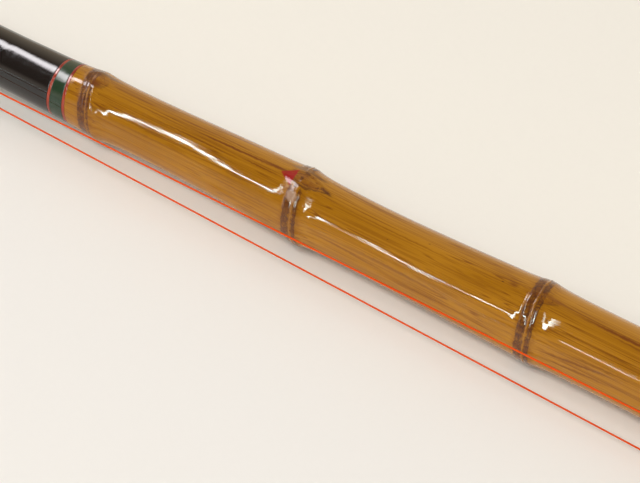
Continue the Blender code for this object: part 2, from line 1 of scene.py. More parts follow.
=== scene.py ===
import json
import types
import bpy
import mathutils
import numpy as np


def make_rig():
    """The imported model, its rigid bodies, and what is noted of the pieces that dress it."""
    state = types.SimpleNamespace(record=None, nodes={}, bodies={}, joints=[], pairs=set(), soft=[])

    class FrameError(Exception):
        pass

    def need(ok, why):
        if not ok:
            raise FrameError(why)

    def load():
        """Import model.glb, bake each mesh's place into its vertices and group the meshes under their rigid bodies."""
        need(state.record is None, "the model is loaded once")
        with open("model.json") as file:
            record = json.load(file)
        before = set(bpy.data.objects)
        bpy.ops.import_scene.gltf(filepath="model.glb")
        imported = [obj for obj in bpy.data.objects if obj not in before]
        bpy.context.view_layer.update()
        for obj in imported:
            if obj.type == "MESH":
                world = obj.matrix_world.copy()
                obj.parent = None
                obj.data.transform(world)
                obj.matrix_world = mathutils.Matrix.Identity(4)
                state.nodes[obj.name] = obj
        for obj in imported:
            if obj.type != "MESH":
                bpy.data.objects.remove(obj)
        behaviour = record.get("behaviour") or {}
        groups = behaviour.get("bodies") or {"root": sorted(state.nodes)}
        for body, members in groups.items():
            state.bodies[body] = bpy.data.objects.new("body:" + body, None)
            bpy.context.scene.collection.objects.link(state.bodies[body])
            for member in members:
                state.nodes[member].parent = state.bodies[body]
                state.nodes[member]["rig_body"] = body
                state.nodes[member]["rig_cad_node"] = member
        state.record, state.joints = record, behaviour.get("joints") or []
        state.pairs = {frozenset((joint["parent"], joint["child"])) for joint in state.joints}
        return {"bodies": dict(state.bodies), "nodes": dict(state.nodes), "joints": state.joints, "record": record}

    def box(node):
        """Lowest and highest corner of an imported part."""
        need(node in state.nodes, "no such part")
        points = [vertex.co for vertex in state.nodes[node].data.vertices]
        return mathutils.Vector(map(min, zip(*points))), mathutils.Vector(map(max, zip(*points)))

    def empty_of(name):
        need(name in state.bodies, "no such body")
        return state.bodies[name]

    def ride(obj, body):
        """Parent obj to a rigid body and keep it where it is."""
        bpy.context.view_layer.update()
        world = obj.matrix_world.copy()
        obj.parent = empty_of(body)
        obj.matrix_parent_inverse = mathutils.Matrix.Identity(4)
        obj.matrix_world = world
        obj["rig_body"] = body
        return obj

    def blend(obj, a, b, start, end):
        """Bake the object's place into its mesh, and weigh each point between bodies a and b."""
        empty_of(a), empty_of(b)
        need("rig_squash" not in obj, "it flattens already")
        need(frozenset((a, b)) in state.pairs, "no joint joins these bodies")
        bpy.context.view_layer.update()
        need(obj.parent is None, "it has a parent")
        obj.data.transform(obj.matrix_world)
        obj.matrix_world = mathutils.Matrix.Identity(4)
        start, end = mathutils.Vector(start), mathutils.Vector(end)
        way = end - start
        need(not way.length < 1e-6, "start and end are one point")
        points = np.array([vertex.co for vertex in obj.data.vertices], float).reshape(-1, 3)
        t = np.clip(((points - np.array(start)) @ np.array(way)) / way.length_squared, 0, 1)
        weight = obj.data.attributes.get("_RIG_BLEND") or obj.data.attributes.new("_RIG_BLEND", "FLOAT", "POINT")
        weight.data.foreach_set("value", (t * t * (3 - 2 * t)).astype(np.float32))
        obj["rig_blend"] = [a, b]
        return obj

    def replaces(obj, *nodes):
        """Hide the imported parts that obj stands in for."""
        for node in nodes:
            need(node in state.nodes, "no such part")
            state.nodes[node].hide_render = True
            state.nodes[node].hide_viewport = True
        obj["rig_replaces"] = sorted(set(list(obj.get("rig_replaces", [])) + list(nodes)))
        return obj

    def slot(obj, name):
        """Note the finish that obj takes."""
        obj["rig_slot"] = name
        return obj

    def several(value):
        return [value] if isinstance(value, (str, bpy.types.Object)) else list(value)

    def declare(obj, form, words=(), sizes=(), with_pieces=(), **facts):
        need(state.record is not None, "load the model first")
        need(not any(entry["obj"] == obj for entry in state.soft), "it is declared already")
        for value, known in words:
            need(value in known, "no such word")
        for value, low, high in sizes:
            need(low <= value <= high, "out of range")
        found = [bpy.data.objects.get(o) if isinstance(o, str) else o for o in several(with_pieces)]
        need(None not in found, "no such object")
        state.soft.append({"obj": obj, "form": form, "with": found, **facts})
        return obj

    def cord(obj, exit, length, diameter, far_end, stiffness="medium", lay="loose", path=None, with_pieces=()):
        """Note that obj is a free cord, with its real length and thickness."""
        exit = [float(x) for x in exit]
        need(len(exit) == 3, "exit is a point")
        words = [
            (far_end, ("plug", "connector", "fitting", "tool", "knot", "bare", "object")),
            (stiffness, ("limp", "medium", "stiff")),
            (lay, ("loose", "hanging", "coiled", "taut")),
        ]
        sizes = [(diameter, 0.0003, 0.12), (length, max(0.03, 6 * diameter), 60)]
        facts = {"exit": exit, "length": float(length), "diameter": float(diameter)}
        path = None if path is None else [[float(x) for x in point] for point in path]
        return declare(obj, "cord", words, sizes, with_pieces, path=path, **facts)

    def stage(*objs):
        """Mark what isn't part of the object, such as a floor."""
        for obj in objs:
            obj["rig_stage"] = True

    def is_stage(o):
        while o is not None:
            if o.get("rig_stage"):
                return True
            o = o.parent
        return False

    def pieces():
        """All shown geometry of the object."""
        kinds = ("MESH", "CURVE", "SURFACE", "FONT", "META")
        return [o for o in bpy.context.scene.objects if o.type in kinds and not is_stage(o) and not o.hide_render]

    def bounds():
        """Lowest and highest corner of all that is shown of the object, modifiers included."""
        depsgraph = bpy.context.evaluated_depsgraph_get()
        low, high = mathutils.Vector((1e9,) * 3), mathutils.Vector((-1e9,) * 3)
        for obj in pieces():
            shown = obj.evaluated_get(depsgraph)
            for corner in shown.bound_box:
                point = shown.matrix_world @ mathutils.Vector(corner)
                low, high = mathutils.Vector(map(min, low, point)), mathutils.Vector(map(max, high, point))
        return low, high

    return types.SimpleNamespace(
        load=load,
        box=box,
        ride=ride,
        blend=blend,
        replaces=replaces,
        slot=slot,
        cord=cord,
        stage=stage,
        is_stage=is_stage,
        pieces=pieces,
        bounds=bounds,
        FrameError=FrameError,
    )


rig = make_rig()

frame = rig.load()

import json
import bpy
import numpy as np
from functools import partialmethod
from math import atan, cos, pi, radians, sin, sqrt, tau
from mathutils import Matrix, Vector

# Bamboo fishing rod: the finished surfaces of every piece, its line, and the studio around it.
# Sizes below are millimetres from the rod's axis. "u" runs along the rod from the middle node of
# the grip, towards the butt. Angles round the rod start at the upper front and grow downwards.

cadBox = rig.bounds()
mm = 0.001

capRear = 254.8                         # u of the butt cap's flat end, which fixes the axis
capLow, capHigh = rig.box("butt_cap")
axis = Vector((capHigh[0] - capRear * mm, (capLow[1] + capHigh[1]) / 2, (capLow[2] + capHigh[2]) / 2))

belowLevel = 4.8                        # degrees that the line's side is turned below level
sideTurn = radians(90 + belowLevel)
upperFront = Vector((0, -cos(radians(45)), sin(radians(45))))
lowerFront = Vector((0, -cos(radians(45)), -sin(radians(45))))


def placed(points):
    # rod millimetres to the frame
    return np.asarray(points, float) * mm + np.array(axis)


def fromLineSide(points):
    # (u, round the rod, height) on the line's side to rod millimetres
    p = np.atleast_2d(np.asarray(points, float))
    y = p[:, 1] * cos(sideTurn) - p[:, 2] * sin(sideTurn)
    z = p[:, 1] * sin(sideTurn) + p[:, 2] * cos(sideTurn)
    return np.stack([p[:, 0], y, z], 1)


def added(name, data):
    # a new object in the scene
    made = bpy.data.objects.new(name, data)
    bpy.context.collection.objects.link(made)
    return made


def records(keys, *rows):
    # a list of dictionaries that share their keys
    return [dict(zip(keys.split(), row)) for row in rows]


# Camera, as the photograph was taken: from 45 degrees above, turned towards the tip

camera = {
    "focal px": 2247.0, "image width px": 640, "sensor": 36.0,
    "turned": 18.8, "rolled": 26.51,     # degrees
    "distance": 492.0, "aim u": 6.55, "aim off px": 24.84,
}


def makeCamera():
    turn, roll = radians(camera["turned"]), radians(camera["rolled"])
    back = Vector((sin(turn), 0, 0)) + cos(turn) * upperFront
    alongRod = (Vector((1, 0, 0)) - sin(turn) * back) / cos(turn)
    right = cos(roll) * alongRod - sin(roll) * lowerFront
    down = sin(roll) * alongRod + cos(roll) * lowerFront
    far = camera["distance"]
    place = Vector((camera["aim u"], 0, 0)) + far * back
    place += far * camera["aim off px"] / camera["focal px"] * lowerFront
    data = bpy.data.cameras.new("photoCamera")
    data.sensor_width = camera["sensor"]
    data.lens = camera["focal px"] / camera["image width px"] * camera["sensor"]
    data.clip_start = 0.01
    made = added("photoCamera", data)
    columns = (right, -down, back, place * mm + axis)
    made.matrix_world = Matrix([[c[i] for c in columns] for i in range(3)] + [[0, 0, 0, 1]])
    bpy.context.scene.camera = made


makeCamera()
print("camera ready")


# Materials

class Value:
    # one output of a node, usable in arithmetic
    def __init__(self, tree, socket):
        self.tree, self.socket = tree, socket

    def maths(self, operation, other, turned=False, clamp=False):
        node = self.tree.nodes.new("ShaderNodeMath")
        node.operation = operation
        node.use_clamp = clamp
        for socket, value in zip(node.inputs, (other, self) if turned else (self, other)):
            feed(self.tree, socket, value)
        return Value(self.tree, node.outputs[0])

    def __rsub__(self, other):
        return self.maths("SUBTRACT", other, turned=True)

    # arithmetic on outputs; waves go up and down between 0 and a size
    __add__ = __radd__ = partialmethod(maths, "ADD")
    __mul__ = __rmul__ = partialmethod(maths, "MULTIPLY")
    __sub__, __pow__ = partialmethod(maths, "SUBTRACT"), partialmethod(maths, "POWER")
    larger, waves = partialmethod(maths, "MAXIMUM"), partialmethod(maths, "PINGPONG")


def feed(tree, socket, value):
    if isinstance(value, Value):
        tree.links.new(value.socket, socket)
    elif isinstance(value, tuple) and len(value) == 3 and len(socket.default_value) == 4:
        socket.default_value = (*value, 1.0)
    else:
        socket.default_value = value


class Nodes:
    # makes the nodes of one tree
    def __init__(self, tree):
        self.tree = tree

    def node(self, kind, settings=None, sockets=None, output=0):
        node = self.tree.nodes.new(kind)
        for key, value in (settings or {}).items():
            setattr(node, key, value)
        for key, value in (sockets or {}).items():
            feed(self.tree, node.inputs[key], value)
        return Value(self.tree, node.outputs[output])

    def ramp(self, value, low, high, most=1.0):
        # 0 at low, most at high, smooth between
        return self.node("ShaderNodeMapRange", {"interpolation_type": "SMOOTHSTEP"},
                         {"Value": value, "From Min": low, "From Max": high, "To Max": most})

    def band(self, value, start, end, soft):
        # 1 between start and end, with soft edges
        rise = self.ramp(value, start - soft, start + soft)
        return rise * (1 - self.ramp(value, end - soft, end + soft))

    def mix(self, factor, first, second):
        return self.node("ShaderNodeMix", {"data_type": "RGBA"}, {0: factor, 6: first, 7: second}, 2)


class Finish(Nodes):
    # a material with a Principled shader, painted one colour over another
    def __init__(self, name, colour=None, **sockets):
        self.material = bpy.data.materials.new(name)
        self.material.use_nodes = True
        self.colour = colour
        super().__init__(self.material.node_tree)
        self.set(**sockets)

    def set(self, **sockets):
        names = {"ior": "IOR", "specular": "Specular IOR Level", "diffuseRoughness": "Diffuse Roughness",
                 "colour": "Base Color"}
        for key, value in sockets.items():
            socket = self.tree.nodes["Principled BSDF"].inputs[names.get(key, key.capitalize())]
            feed(self.tree, socket, value)

    def places(self, stretch):
        # millimetres from the middle node on the rod's axis, times stretch
        point = self.node("ShaderNodeTexCoord", output="Object")
        size = [s / mm for s in stretch]
        shift = [-a * s for a, s in zip(axis, size)]
        return self.node("ShaderNodeMapping", None,
                         {"Vector": point, "Location": shift, "Scale": size})

    def noise(self, stretch, scale, detail=2.0, roughness=0.5, distortion=0.0):
        # one number for stretch is along the rod
        where = self.places(stretch if isinstance(stretch, tuple) else (stretch, 1, 1))
        return self.node("ShaderNodeTexNoise", None,
                         {"Vector": where, "Scale": scale, "Detail": detail,
                          "Roughness": roughness, "Distortion": distortion})

    def attribute(self, name):
        return self.node("ShaderNodeAttribute", {"attribute_name": name}, None, "Fac")

    def paint(self, factor, tone):
        tone = bamboo[tone] if isinstance(tone, str) else tone
        self.colour = self.mix(factor, self.colour, tone)

    def done(self, roughness, height=None, distance=None):
        self.set(colour=self.colour, roughness=roughness)
        if height:
            sockets = {"Height": height, "Distance": distance}
            self.set(normal=self.node("ShaderNodeBump", None, sockets))
        return self.material


bamboo = {
    "gold": (0.36, 0.145, 0.003), "pale": (0.425, 0.183, 0.009), "deep": (0.235, 0.076, 0.002),
    "fibre": (0.175, 0.047, 0.002), "red brown": (0.15, 0.032, 0.003),
    "node brown": (0.135, 0.038, 0.006), "node dark": (0.058, 0.020, 0.009),
    "node light": (0.31, 0.135, 0.028), "scar": (0.22, 0.068, 0.006),
    "scar dark": (0.085, 0.024, 0.006), "scar grey": (0.19, 0.11, 0.06),
    # this pale tone paints a highlight over a pale scar on the middle node's front facet
    "scar pale": (0.42, 0.27, 0.18), "red spot": (0.33, 0.009, 0.010),
    "roughness": 0.03, "ior": 1.52, "specular": 0.35,
}


def bambooFinish(name):
    # golden culm with long fibre streaks: also returns the fine fibres and what is patchy
    finish = Finish(name, bamboo["gold"], ior=bamboo["ior"], specular=bamboo["specular"],
                    diffuseRoughness=0.8)
    fibres = finish.noise(0.006, 2.4)
    streaks = finish.noise(0.008, 0.8)
    veins = finish.noise(0.003, 1.2, 0)
    fading = finish.noise(0.02, 0.7)
    clouds = finish.noise(0.22, 0.12)
    finish.paint(finish.ramp(clouds, 0.36, 0.66), "pale")
    finish.paint(finish.ramp(streaks, 0.50, 0.72) * 0.28, "deep")
    finish.paint(finish.ramp(fibres, 0.53, 0.64) * 0.45, "deep")
    finish.paint(finish.ramp(fibres, 0.46, 0.34) * 0.5, "pale")
    lines = 1 - finish.ramp(veins.waves(0.11), 0.006, 0.036)
    finish.paint(lines * finish.ramp(fading, 0.38, 0.58) * 0.7, "fibre")
    return finish, fibres, finish.noise(0.5, 0.9, 3, 0.6)


# Marks of the grip's skin, natural ones and one painted highlight: u, side in degrees, half length, half turn, how
# many degrees it leans per millimetre, colour, strength and how soft its edge is
skinMarks = [
    # round the bud of the middle node
    (-1.6, -59, 3.2, 6, 0, "scar grey", 0.75, 0.7),
    # pale mark on the node's front facet: a pale scar, lightened further as a painted highlight
    (-1, -4, 1.5, 9.5, 4.5, "scar pale", 0.85, 0.5),
    (2.4, -58, 2.6, 5, 0, "scar dark", 0.6, 0.7),
    (-0.3, -37, 0.5, 5, 3, "scar dark", 0.8, 0.6),
    (0.2, -51, 1, 3.5, 1, "scar dark", 0.75, 0.6),
    (5.6, -36.5, 1.7, 3.2, 2.5, "scar dark", 0.8, 0.7),
    (-1, -20.5, 0.5, 4, 2, "scar dark", 0.8, 0.6),
    # the front node
    (-54.8, -31, 1.6, 8, -3, "red brown", 0.75, 0.8),
    (-57, -42, 1.3, 8, 0, "scar dark", 0.6, 0.8),
    (-55.8, -58, 2.4, 9, 0, "scar dark", 0.55, 0.8),
    (-53.2, -66, 3.6, 8, 0, "scar grey", 0.7, 0.6),
    # the rear node
    (61.6, -38, 2.6, 4.5, 0, "scar", 0.7, 0.7),
    (58.6, -47, 1.2, 9, 0, "scar dark", 0.5, 0.7),
    (51.9, -33, 1.5, 5, 0, "red brown", 0.6, 0.9),
    (49.4, -30, 0.3, 1.4, 0, "scar dark", 0.8, 0.6),
    (31, -36, 0.3, 1.2, 0, "scar dark", 0.7, 0.6),
    (22.4, -12, 0.25, 1.2, 0, "scar dark", 0.7, 0.6),
    # long dark streaks in the skin
    (-18, -34.8, 14.5, 2.8, -0.12, "red brown", 0.85, 0.8),
    (-7.6, -38, 5, 3.6, 0, "red brown", 0.8, 0.8),
    (-27, -46, 20, 2.2, 0, "deep", 0.8, 0.8),
    (-10.5, -24, 7, 1.8, 0, "red brown", 0.7, 0.8),
    (-28.5, -19.5, 13, 1.8, 0, "red brown", 0.6, 0.8),
    (-38, -31, 14, 2, 0.1, "red brown", 0.5, 0.8),
    (-35, 17, 18, 1.8, 0, "deep", 0.7, 0.8),
    (-14, 28, 14, 2, -0.2, "deep", 0.7, 0.8),
    (16, 36, 11, 2.2, 0.3, "red brown", 0.55, 0.8),
    (28, 27, 16, 1.8, 0.1, "deep", 0.8, 0.8),
    (36, 43, 14, 1.8, -0.3, "red brown", 0.5, 0.8),
    (24, -27, 16, 1.6, 0, "deep", 0.7, 0.8),
    (79, -33.4, 14, 3, 0, "red brown", 0.85, 0.8),
    (82, -26, 9, 1.8, 0.2, "red brown", 0.6, 0.8),
    (70.5, 32.5, 11, 2.4, -0.68, "red brown", 0.7, 0.8),
    (72, 44, 10, 2.2, -0.5, "red brown", 0.6, 0.8),
    (76, 22, 12, 1.8, -0.4, "red brown", 0.5, 0.8),
]

redSpot = ((-6.3, -33.5), (-1.9, -54), (-2.2, -16))     # corners of the red triangle: u and side
skinTurn = radians(8.4)                 # millimetres along the skin for each degree round it
gripAttributes = ("along", "side", "ring", "dark", "bead", "budU", "budSide", "budRim")


def gripBamboo():
    # the grip's skin: its colours, then the marks of nodes and buds, then the fine bump
    finish, fibres, patchy = bambooFinish("gripBamboo")
    ramp, band, paint = finish.ramp, finish.band, finish.paint
    along, side, ring, dark, bead, budU, budSide, budRim = (
        finish.attribute(name) for name in gripAttributes)
    wobble = finish.noise(0.7, 0.7, 3, 0.65) - 0.5
    ragged = finish.noise(0.5, 1.7, 3, 0.65) - 0.5
    cells = finish.node("ShaderNodeTexVoronoi", {"feature": "DISTANCE_TO_EDGE"},
                        {"Vector": finish.places((1.3, 0.75, 0.75)), "Scale": 1}, "Distance")
    cracks = 1 - ramp(cells + ragged * 0.12, 0, 0.13)

    # rings of a node: the front one from 0 to 1, the rear one from 1.4 to 2.4
    off = ring + wobble * 0.7 + ragged * 0.3
    paint(band(off, -0.4, 3.2, 0.9) * ramp(patchy, 0.3, 0.6) * dark * 0.7, "deep")
    rings = (band(off, 0, 1, 0.16) + band(off, 1.4, 2.4, 0.16)) * dark
    paint(rings * (0.6 + 0.4 * ramp(patchy, 0.38, 0.56)), "node brown")
    edges = band(off, 0, 0.06, 0.12) + band(off, 2.34, 2.4, 0.12)
    crusts = (edges * 0.6 + cracks * 0.8) * rings
    paint(crusts.maths("ADD", 0, clamp=True), "node dark")
    strip = band(off, 1.13, 1.27, 0.09) * bead
    paint(strip * (0.4 + 0.6 * ramp(patchy, 0.6, 0.4)), "node light")

    # the scar round a bud: wavy lines inside, a dark rim that is broadest below
    offU = budU + wobble * 0.25 + ragged * 0.16
    offSide = budSide + wobble * 0.45 + ragged * 0.5
    shape = (offU * offU + offSide * offSide) ** 0.5
    inside = 1 - ramp(shape, 0.74, 1.02)
    paint(inside * (0.25 + 0.5 * ramp(patchy, 0.35, 0.6)) * budRim, "scar")
    creases = 1 - ramp((shape + ragged * 0.3 + wobble * 0.2).waves(0.15), 0.01, 0.05)
    creases = creases * inside * ramp(shape, 0.3, 0.5) * ramp(patchy, 0.38, 0.52)
    flecks = inside * ramp(ragged, 0.06, 0.16)
    rim = band(shape, 0.86, 1, 0.14) * (0.35 + 0.65 * ramp(offSide, -0.2, 0.5))
    paint((flecks * 0.5).larger(creases * 0.75).larger(rim) * budRim, "scar dark")

    # single marks, as places along the skin and round it in millimetres
    place = finish.node("ShaderNodeCombineXYZ", None, {
        "X": along + ragged * 0.9 + wobble * 0.8,
        "Y": side * skinTurn + ragged * 0.5 + wobble * 0.35})
    masks = {}
    for u, turn, length, half, lean, tone, strength, soft in skinMarks:
        local = finish.node("ShaderNodeMapping", {"vector_type": "TEXTURE"}, {
            "Vector": place, "Location": (u, turn * skinTurn, 0),
            "Rotation": (0, 0, atan(lean * skinTurn)), "Scale": (length, half * skinTurn, 1)})
        shape = finish.node("ShaderNodeVectorMath", {"operation": "LENGTH"}, {0: local}, "Value")
        mask = ramp(shape, 1 + 0.35 * soft, 1 - soft, strength)
        masks[tone] = mask.larger(masks[tone]) if tone in masks else mask
    for tone, mask in masks.items():
        paint(mask, tone)

    spot = 1
    for (u, a), (nextU, nextA) in zip(redSpot, redSpot[1:] + redSpot[:1]):
        # millimetres inside this edge of the triangle, measured at the skin
        acrossU, acrossA = (a - nextA) * skinTurn, nextU - u
        size = sqrt(acrossU ** 2 + acrossA ** 2)
        depth = (along - u) * (acrossU / size) + (side - a) * (skinTurn * acrossA / size)
        spot = ramp(depth + wobble * 0.5 + ragged * 0.35, -0.05, 0.28) * spot
    paint(spot * (0.84 + 0.16 * ramp(patchy, 0.4, 0.6)), "red spot")

    # fine ribs break up the highlights; the skin is uneven about the middle node's scar
    ribs = finish.noise(0.015, 2.2, 0)
    rough = band(along, -3.9, 4.4, 0.8) * band(side, -60, 2, 7)
    ribs = ribs * (0.2 + ramp(along, -50, -43) * 0.8)
    height = ribs + fibres * 0.08 + (wobble * 5 + ragged) * rough
    return finish.done(bamboo["roughness"] + patchy * 0.04, height, 0.00002)


def plainBamboo():
    # the culms of the thinner sections: the same bamboo, its node rings set by "ring"
    finish, fibres, patchy = bambooFinish("plainBamboo")
    ring = finish.attribute("ring")
    finish.paint(ring * (0.6 + 0.4 * finish.ramp(patchy, 0.4, 0.6)), "node brown")
    return finish.done(bamboo["roughness"] + patchy * 0.05, fibres, 0.00001)


def lacquer(name, colour, deeper):
    # lacquer brushed round the rod: faint brush lines and slow waves
    finish = Finish(name, colour, ior=1.53)
    waves = finish.noise((0.08, 0.7, 0.7), 0.4, 1)
    brush = finish.noise((3, 0.15, 0.15), 1)
    finish.paint(finish.ramp(waves, 0.35, 0.65), deeper)
    return finish.done(0.05 + finish.ramp(brush, 0.4, 0.7) * 0.03, brush * 0.03 + waves, 0.00003)


def thread(name, colour, deeper, roughness):
    # silk thread wound round the rod, under a thin coat of lacquer
    finish = Finish(name, deeper, ior=1.5)
    fibre = finish.noise((6, 0.5, 0.5), 1.6, 3, 0.6)
    slow = finish.noise((0.3, 0.6, 0.6), 1)
    finish.paint(fibre, colour)
    finish.paint(slow * 0.4, deeper)
    return finish.done(roughness + slow * 0.12, fibre, 0.00004)


def buffaloHorn():
    finish = Finish("buffaloHorn", (0.03, 0.014, 0.007), ior=1.55)
    grain = finish.noise((0.25, 1.4, 1.4), 1.3, 4, 0.6, 0.6)
    clouds = finish.noise((0.5, 0.5, 0.5), 0.5)
    finish.paint(finish.ramp(grain, 0.4, 0.7), (0.11, 0.05, 0.022))
    finish.paint(finish.ramp(clouds, 0.5, 0.75) * 0.5, (0.2, 0.11, 0.05))
    return finish.done(0.16 + grain * 0.12, grain, 0.00003)


def polishedBrass():
    finish = Finish("polishedBrass", (0.72, 0.47, 0.17), metallic=1)
    tarnish = finish.noise(1, 0.8, 4, 0.65)
    fine = finish.noise((1, 6, 1), 3)
    finish.paint(finish.ramp(tarnish, 0.42, 0.7), (0.42, 0.25, 0.09))
    return finish.done(0.18 + finish.ramp(tarnish, 0.4, 0.7) * 0.2, fine, 0.00001)


def brightSteel():
    finish = Finish("brightSteel", (0.42, 0.42, 0.43), metallic=1)
    fine = finish.noise((0.5, 5, 5), 3)
    finish.paint(fine, (0.6, 0.6, 0.62))
    return finish.done(0.18 + fine * 0.14)


def orangeLine():
    finish = Finish("orangeLine", (0.66, 0.050, 0.0006), ior=1.45, specular=0.08)
    slow = finish.noise(0.2, 0.6)
    fine = finish.noise((2, 8, 8), 1)
    finish.paint(slow, (0.72, 0.080, 0.001))
    return finish.done(0.5 + fine * 0.12, fine, 0.00001)


def cork():
    finish = Finish("cork", (0.42, 0.25, 0.12), ior=1.45)
    pores = finish.noise(1, 1.8, 5, 0.7)
    grain = finish.noise(0.6, 0.6, 3)
    finish.paint(finish.ramp(grain, 0.3, 0.7), (0.3, 0.16, 0.07))
    finish.paint(finish.ramp(pores, 0.58, 0.66), (0.1, 0.045, 0.02))
    return finish.done(0.75 + pores * 0.15, pores, 0.0001)


finishes = {
    "grip bamboo": gripBamboo(), "plain bamboo": plainBamboo(),
    "black": lacquer("blackLacquer", (0.005, 0.0035, 0.003), (0.008, 0.005, 0.004)),
    "green": lacquer("greenLacquer", (0.010, 0.030, 0.012), (0.017, 0.042, 0.019)),
    "red": lacquer("redLacquer", (0.34, 0.036, 0.012), (0.22, 0.018, 0.008)),
    "thread": thread("blackThread", (0.02, 0.016, 0.014), (0.008, 0.006, 0.005), 0.32),
    "red cord": thread("redCord", (0.42, 0.025, 0.014), (0.2, 0.008, 0.006), 0.5),
    "horn": buffaloHorn(), "brass": polishedBrass(), "steel": brightSteel(), "cork": cork(),
    "line": orangeLine(),
}
slots = {"grip bamboo": "bamboo", "plain bamboo": "bamboo", "black": "black_lacquer",
         "green": "green_lacquer", "red": "red_lacquer", "thread": "black_thread",
         "red cord": "red_cord", "horn": "horn", "brass": "brass", "steel": "steel", "cork": "cork",
         "line": "orange_line"}
print("materials ready")


# Shape of the bamboo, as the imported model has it

gripBody = {"u": (-186, -80, -65.2, -54.6, 0.3, 58.6, 104, 158, 248),
            "radius": (6.2, 6.5, 6.79, 7.2, 8.05, 8.75, 8.8, 8.8, 8.8)}

# Nodes of the grip: place, ridge, lean, slope behind, how far the culm draws in behind it, how
# dark its rings are, where the front and the rear ring lie, the bead between them and how pale
# that is, how deep the node is carved, and the sides between which its bud interrupts the rings
gripNodes = records(
    "u ridge lean behind waist dark frontRing rearRing bead strip carved gap",
    (-54.6, 0.33, 0.29, 2.4, 0.45, 0.95, (-3.3, -1.25), (-1.05, -0.4), -1.88, 0.1, 0.22, None),
    (0.3, 0.47, 0.2, 2.4, 0.45, 0.85, (-2.8, -0.95), (-0.1, 0.75), -0.5, 0.8, 1, (-60, -14)),
    (58.6, 0.36, 0.12, 3.2, 0.22, 0.92, (-2.5, -0.6), (-0.05, 1.05), -0.32, 0.3, 1, None),
    (104, 0.3, -0.05, 3, 0.25, 0.8, (-2.6, -0.8), (-0.1, 0.8), -0.4, 0.45, 1, None),
    (158, 0.3, 0.08, 3, 0.2, 0.8, (-2.4, -0.8), (-0.1, 0.7), -0.4, 0.45, 1, None),
    (196, 0.25, -0.06, 3, 0.15, 0.8, (-2.3, -0.7), (-0.1, 0.7), -0.4, 0.45, 1, None),
    (226, 0.25, 0.05, 3, 0, 0.8, (-2.2, -0.7), (-0.1, 0.7), -0.4, 0.45, 1, None))
ridgeFront, ridgeRear = 3.4, 2.2
bandLean = {"u": -63.4, "lean": 0.055}
leanReach = 6.0
swayBetweenNodes = 0.35

# Buds lie in shallow dishes: middle, half length, half turn in degrees, how much they narrow
# towards the butt, depth and how dark their rim is
buds = records(
    "u side length turn taper depth rim",
    (-54.8, -44, 2.8, 22, 0.3, 0.1, 0.5), (0.8, -38, 5.8, 15.5, 0.62, 0.12, 1),
    (59.8, -33, 2.8, 8, 0.5, 0.05, 0.7), (106, 138, 3.8, 16, 0.5, 0.1, 0.8),
    (160.2, -45, 3.8, 16, 0.5, 0.1, 0.8), (197.8, 150, 3, 14, 0.5, 0.08, 0.8),
    (227.5, -60, 2.6, 13, 0.5, 0.08, 0.8))

# Slow swells and flats of the skin: u, side, half length, half turn, height
swells = [(40, 9, 8, 6, 0.09), (22, 9, 6, 9, -0.02), (-33, -8, 6, 10, -0.02),
          (-0.9, -5, 1.5, 11, 0.14)]


def ridge(off, height, behind=ridgeRear):
    reach = np.where(off < 0, ridgeFront, behind)
    return height / (1 + (off / reach) ** 2) ** 1.5


def gripRadius(u):
    u = np.asarray(u, float)
    radius = np.interp(u, gripBody["u"], gripBody["radius"])
    for node in gripNodes:
        radius = radius + ridge(u - node["u"], node["ridge"], node["behind"])
    for node, following in zip(gripNodes, gripNodes[1:]):
        part = np.clip((u - node["u"]) / (following["u"] - node["u"]), 0, 1)
        radius = radius - node["waist"] * 27 / 4 * part * (1 - part) ** 2
    return radius


def gripSway(u):
    first, second, third = (node["u"] for node in gripNodes[:3])
    up = np.sin(pi * np.clip((u - first) / (second - first), 0, 1))
    down = np.sin(pi * np.clip((u - second) / (third - second), 0, 1))
    return swayBetweenNodes * (up - down)


def straightPoints(u, radius, turn):
    # points round the rod: turn 0 is at the upper front and grows downwards
    y = radius * (np.cos(turn) * upperFront.y + np.sin(turn) * lowerFront.y)
    z = radius * (np.cos(turn) * upperFront.z + np.sin(turn) * lowerFront.z)
    return np.stack([np.array(u, float), y, z], -1)


def gripPoints(u, radius, turn):
    # the same on the grip, whose nodes lean and whose axis sways
    x, y, z = straightPoints(u, radius, turn).T
    down = (-y - z) / sqrt(2)
    for place in [*gripNodes, bandLean]:
        x = x + place["lean"] * down * 2.0 ** -(((u - place["u"]) / leanReach) ** 2)
    return np.stack([x, y, z + gripSway(u)], -1)


# Modelling helpers

def select(*pieces):
    # nothing else stays selected, and the first is the one worked on
    bpy.ops.object.select_all(action="DESELECT")
    for piece in reversed(pieces):
        piece.select_set(True)
        bpy.context.view_layer.objects.active = piece


def finishPiece(piece, kind, body, *nodes, angle=40.0, name=None):
    # named after the node that it replaces
    first, *words = nodes[0].split("_")
    piece.name = piece.data.name = name or first + "".join(word.capitalize() for word in words)
    piece.data.materials.clear()
    piece.data.materials.append(finishes[kind])
    select(piece)
    bpy.ops.object.shade_smooth_by_angle(angle=radians(angle))
    slot = slots[kind]
    if body:
        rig.ride(piece, body)
    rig.slot(piece, slot)
    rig.replaces(piece, *nodes)
    return piece


def closeMesh(near):
    # weld what meets, turn the faces outwards and leave edit mode
    bpy.ops.mesh.select_all(action="SELECT")
    bpy.ops.mesh.remove_doubles(threshold=near)
    bpy.ops.mesh.normals_make_consistent(inside=False)
    bpy.ops.object.mode_set(mode="OBJECT")


def gridOf(rows, columns):
    # a flat grid, with the row and column of each of its points
    select()
    bpy.ops.mesh.primitive_grid_add(x_subdivisions=rows, y_subdivisions=columns, size=1)
    piece = bpy.context.object
    flat = np.empty(len(piece.data.vertices) * 3)
    piece.data.vertices.foreach_get("co", flat)
    along, across = flat.reshape(-1, 3).T[:2] + 0.5
    return piece, np.rint(along * rows).astype(int), np.rint(across * columns).astype(int)


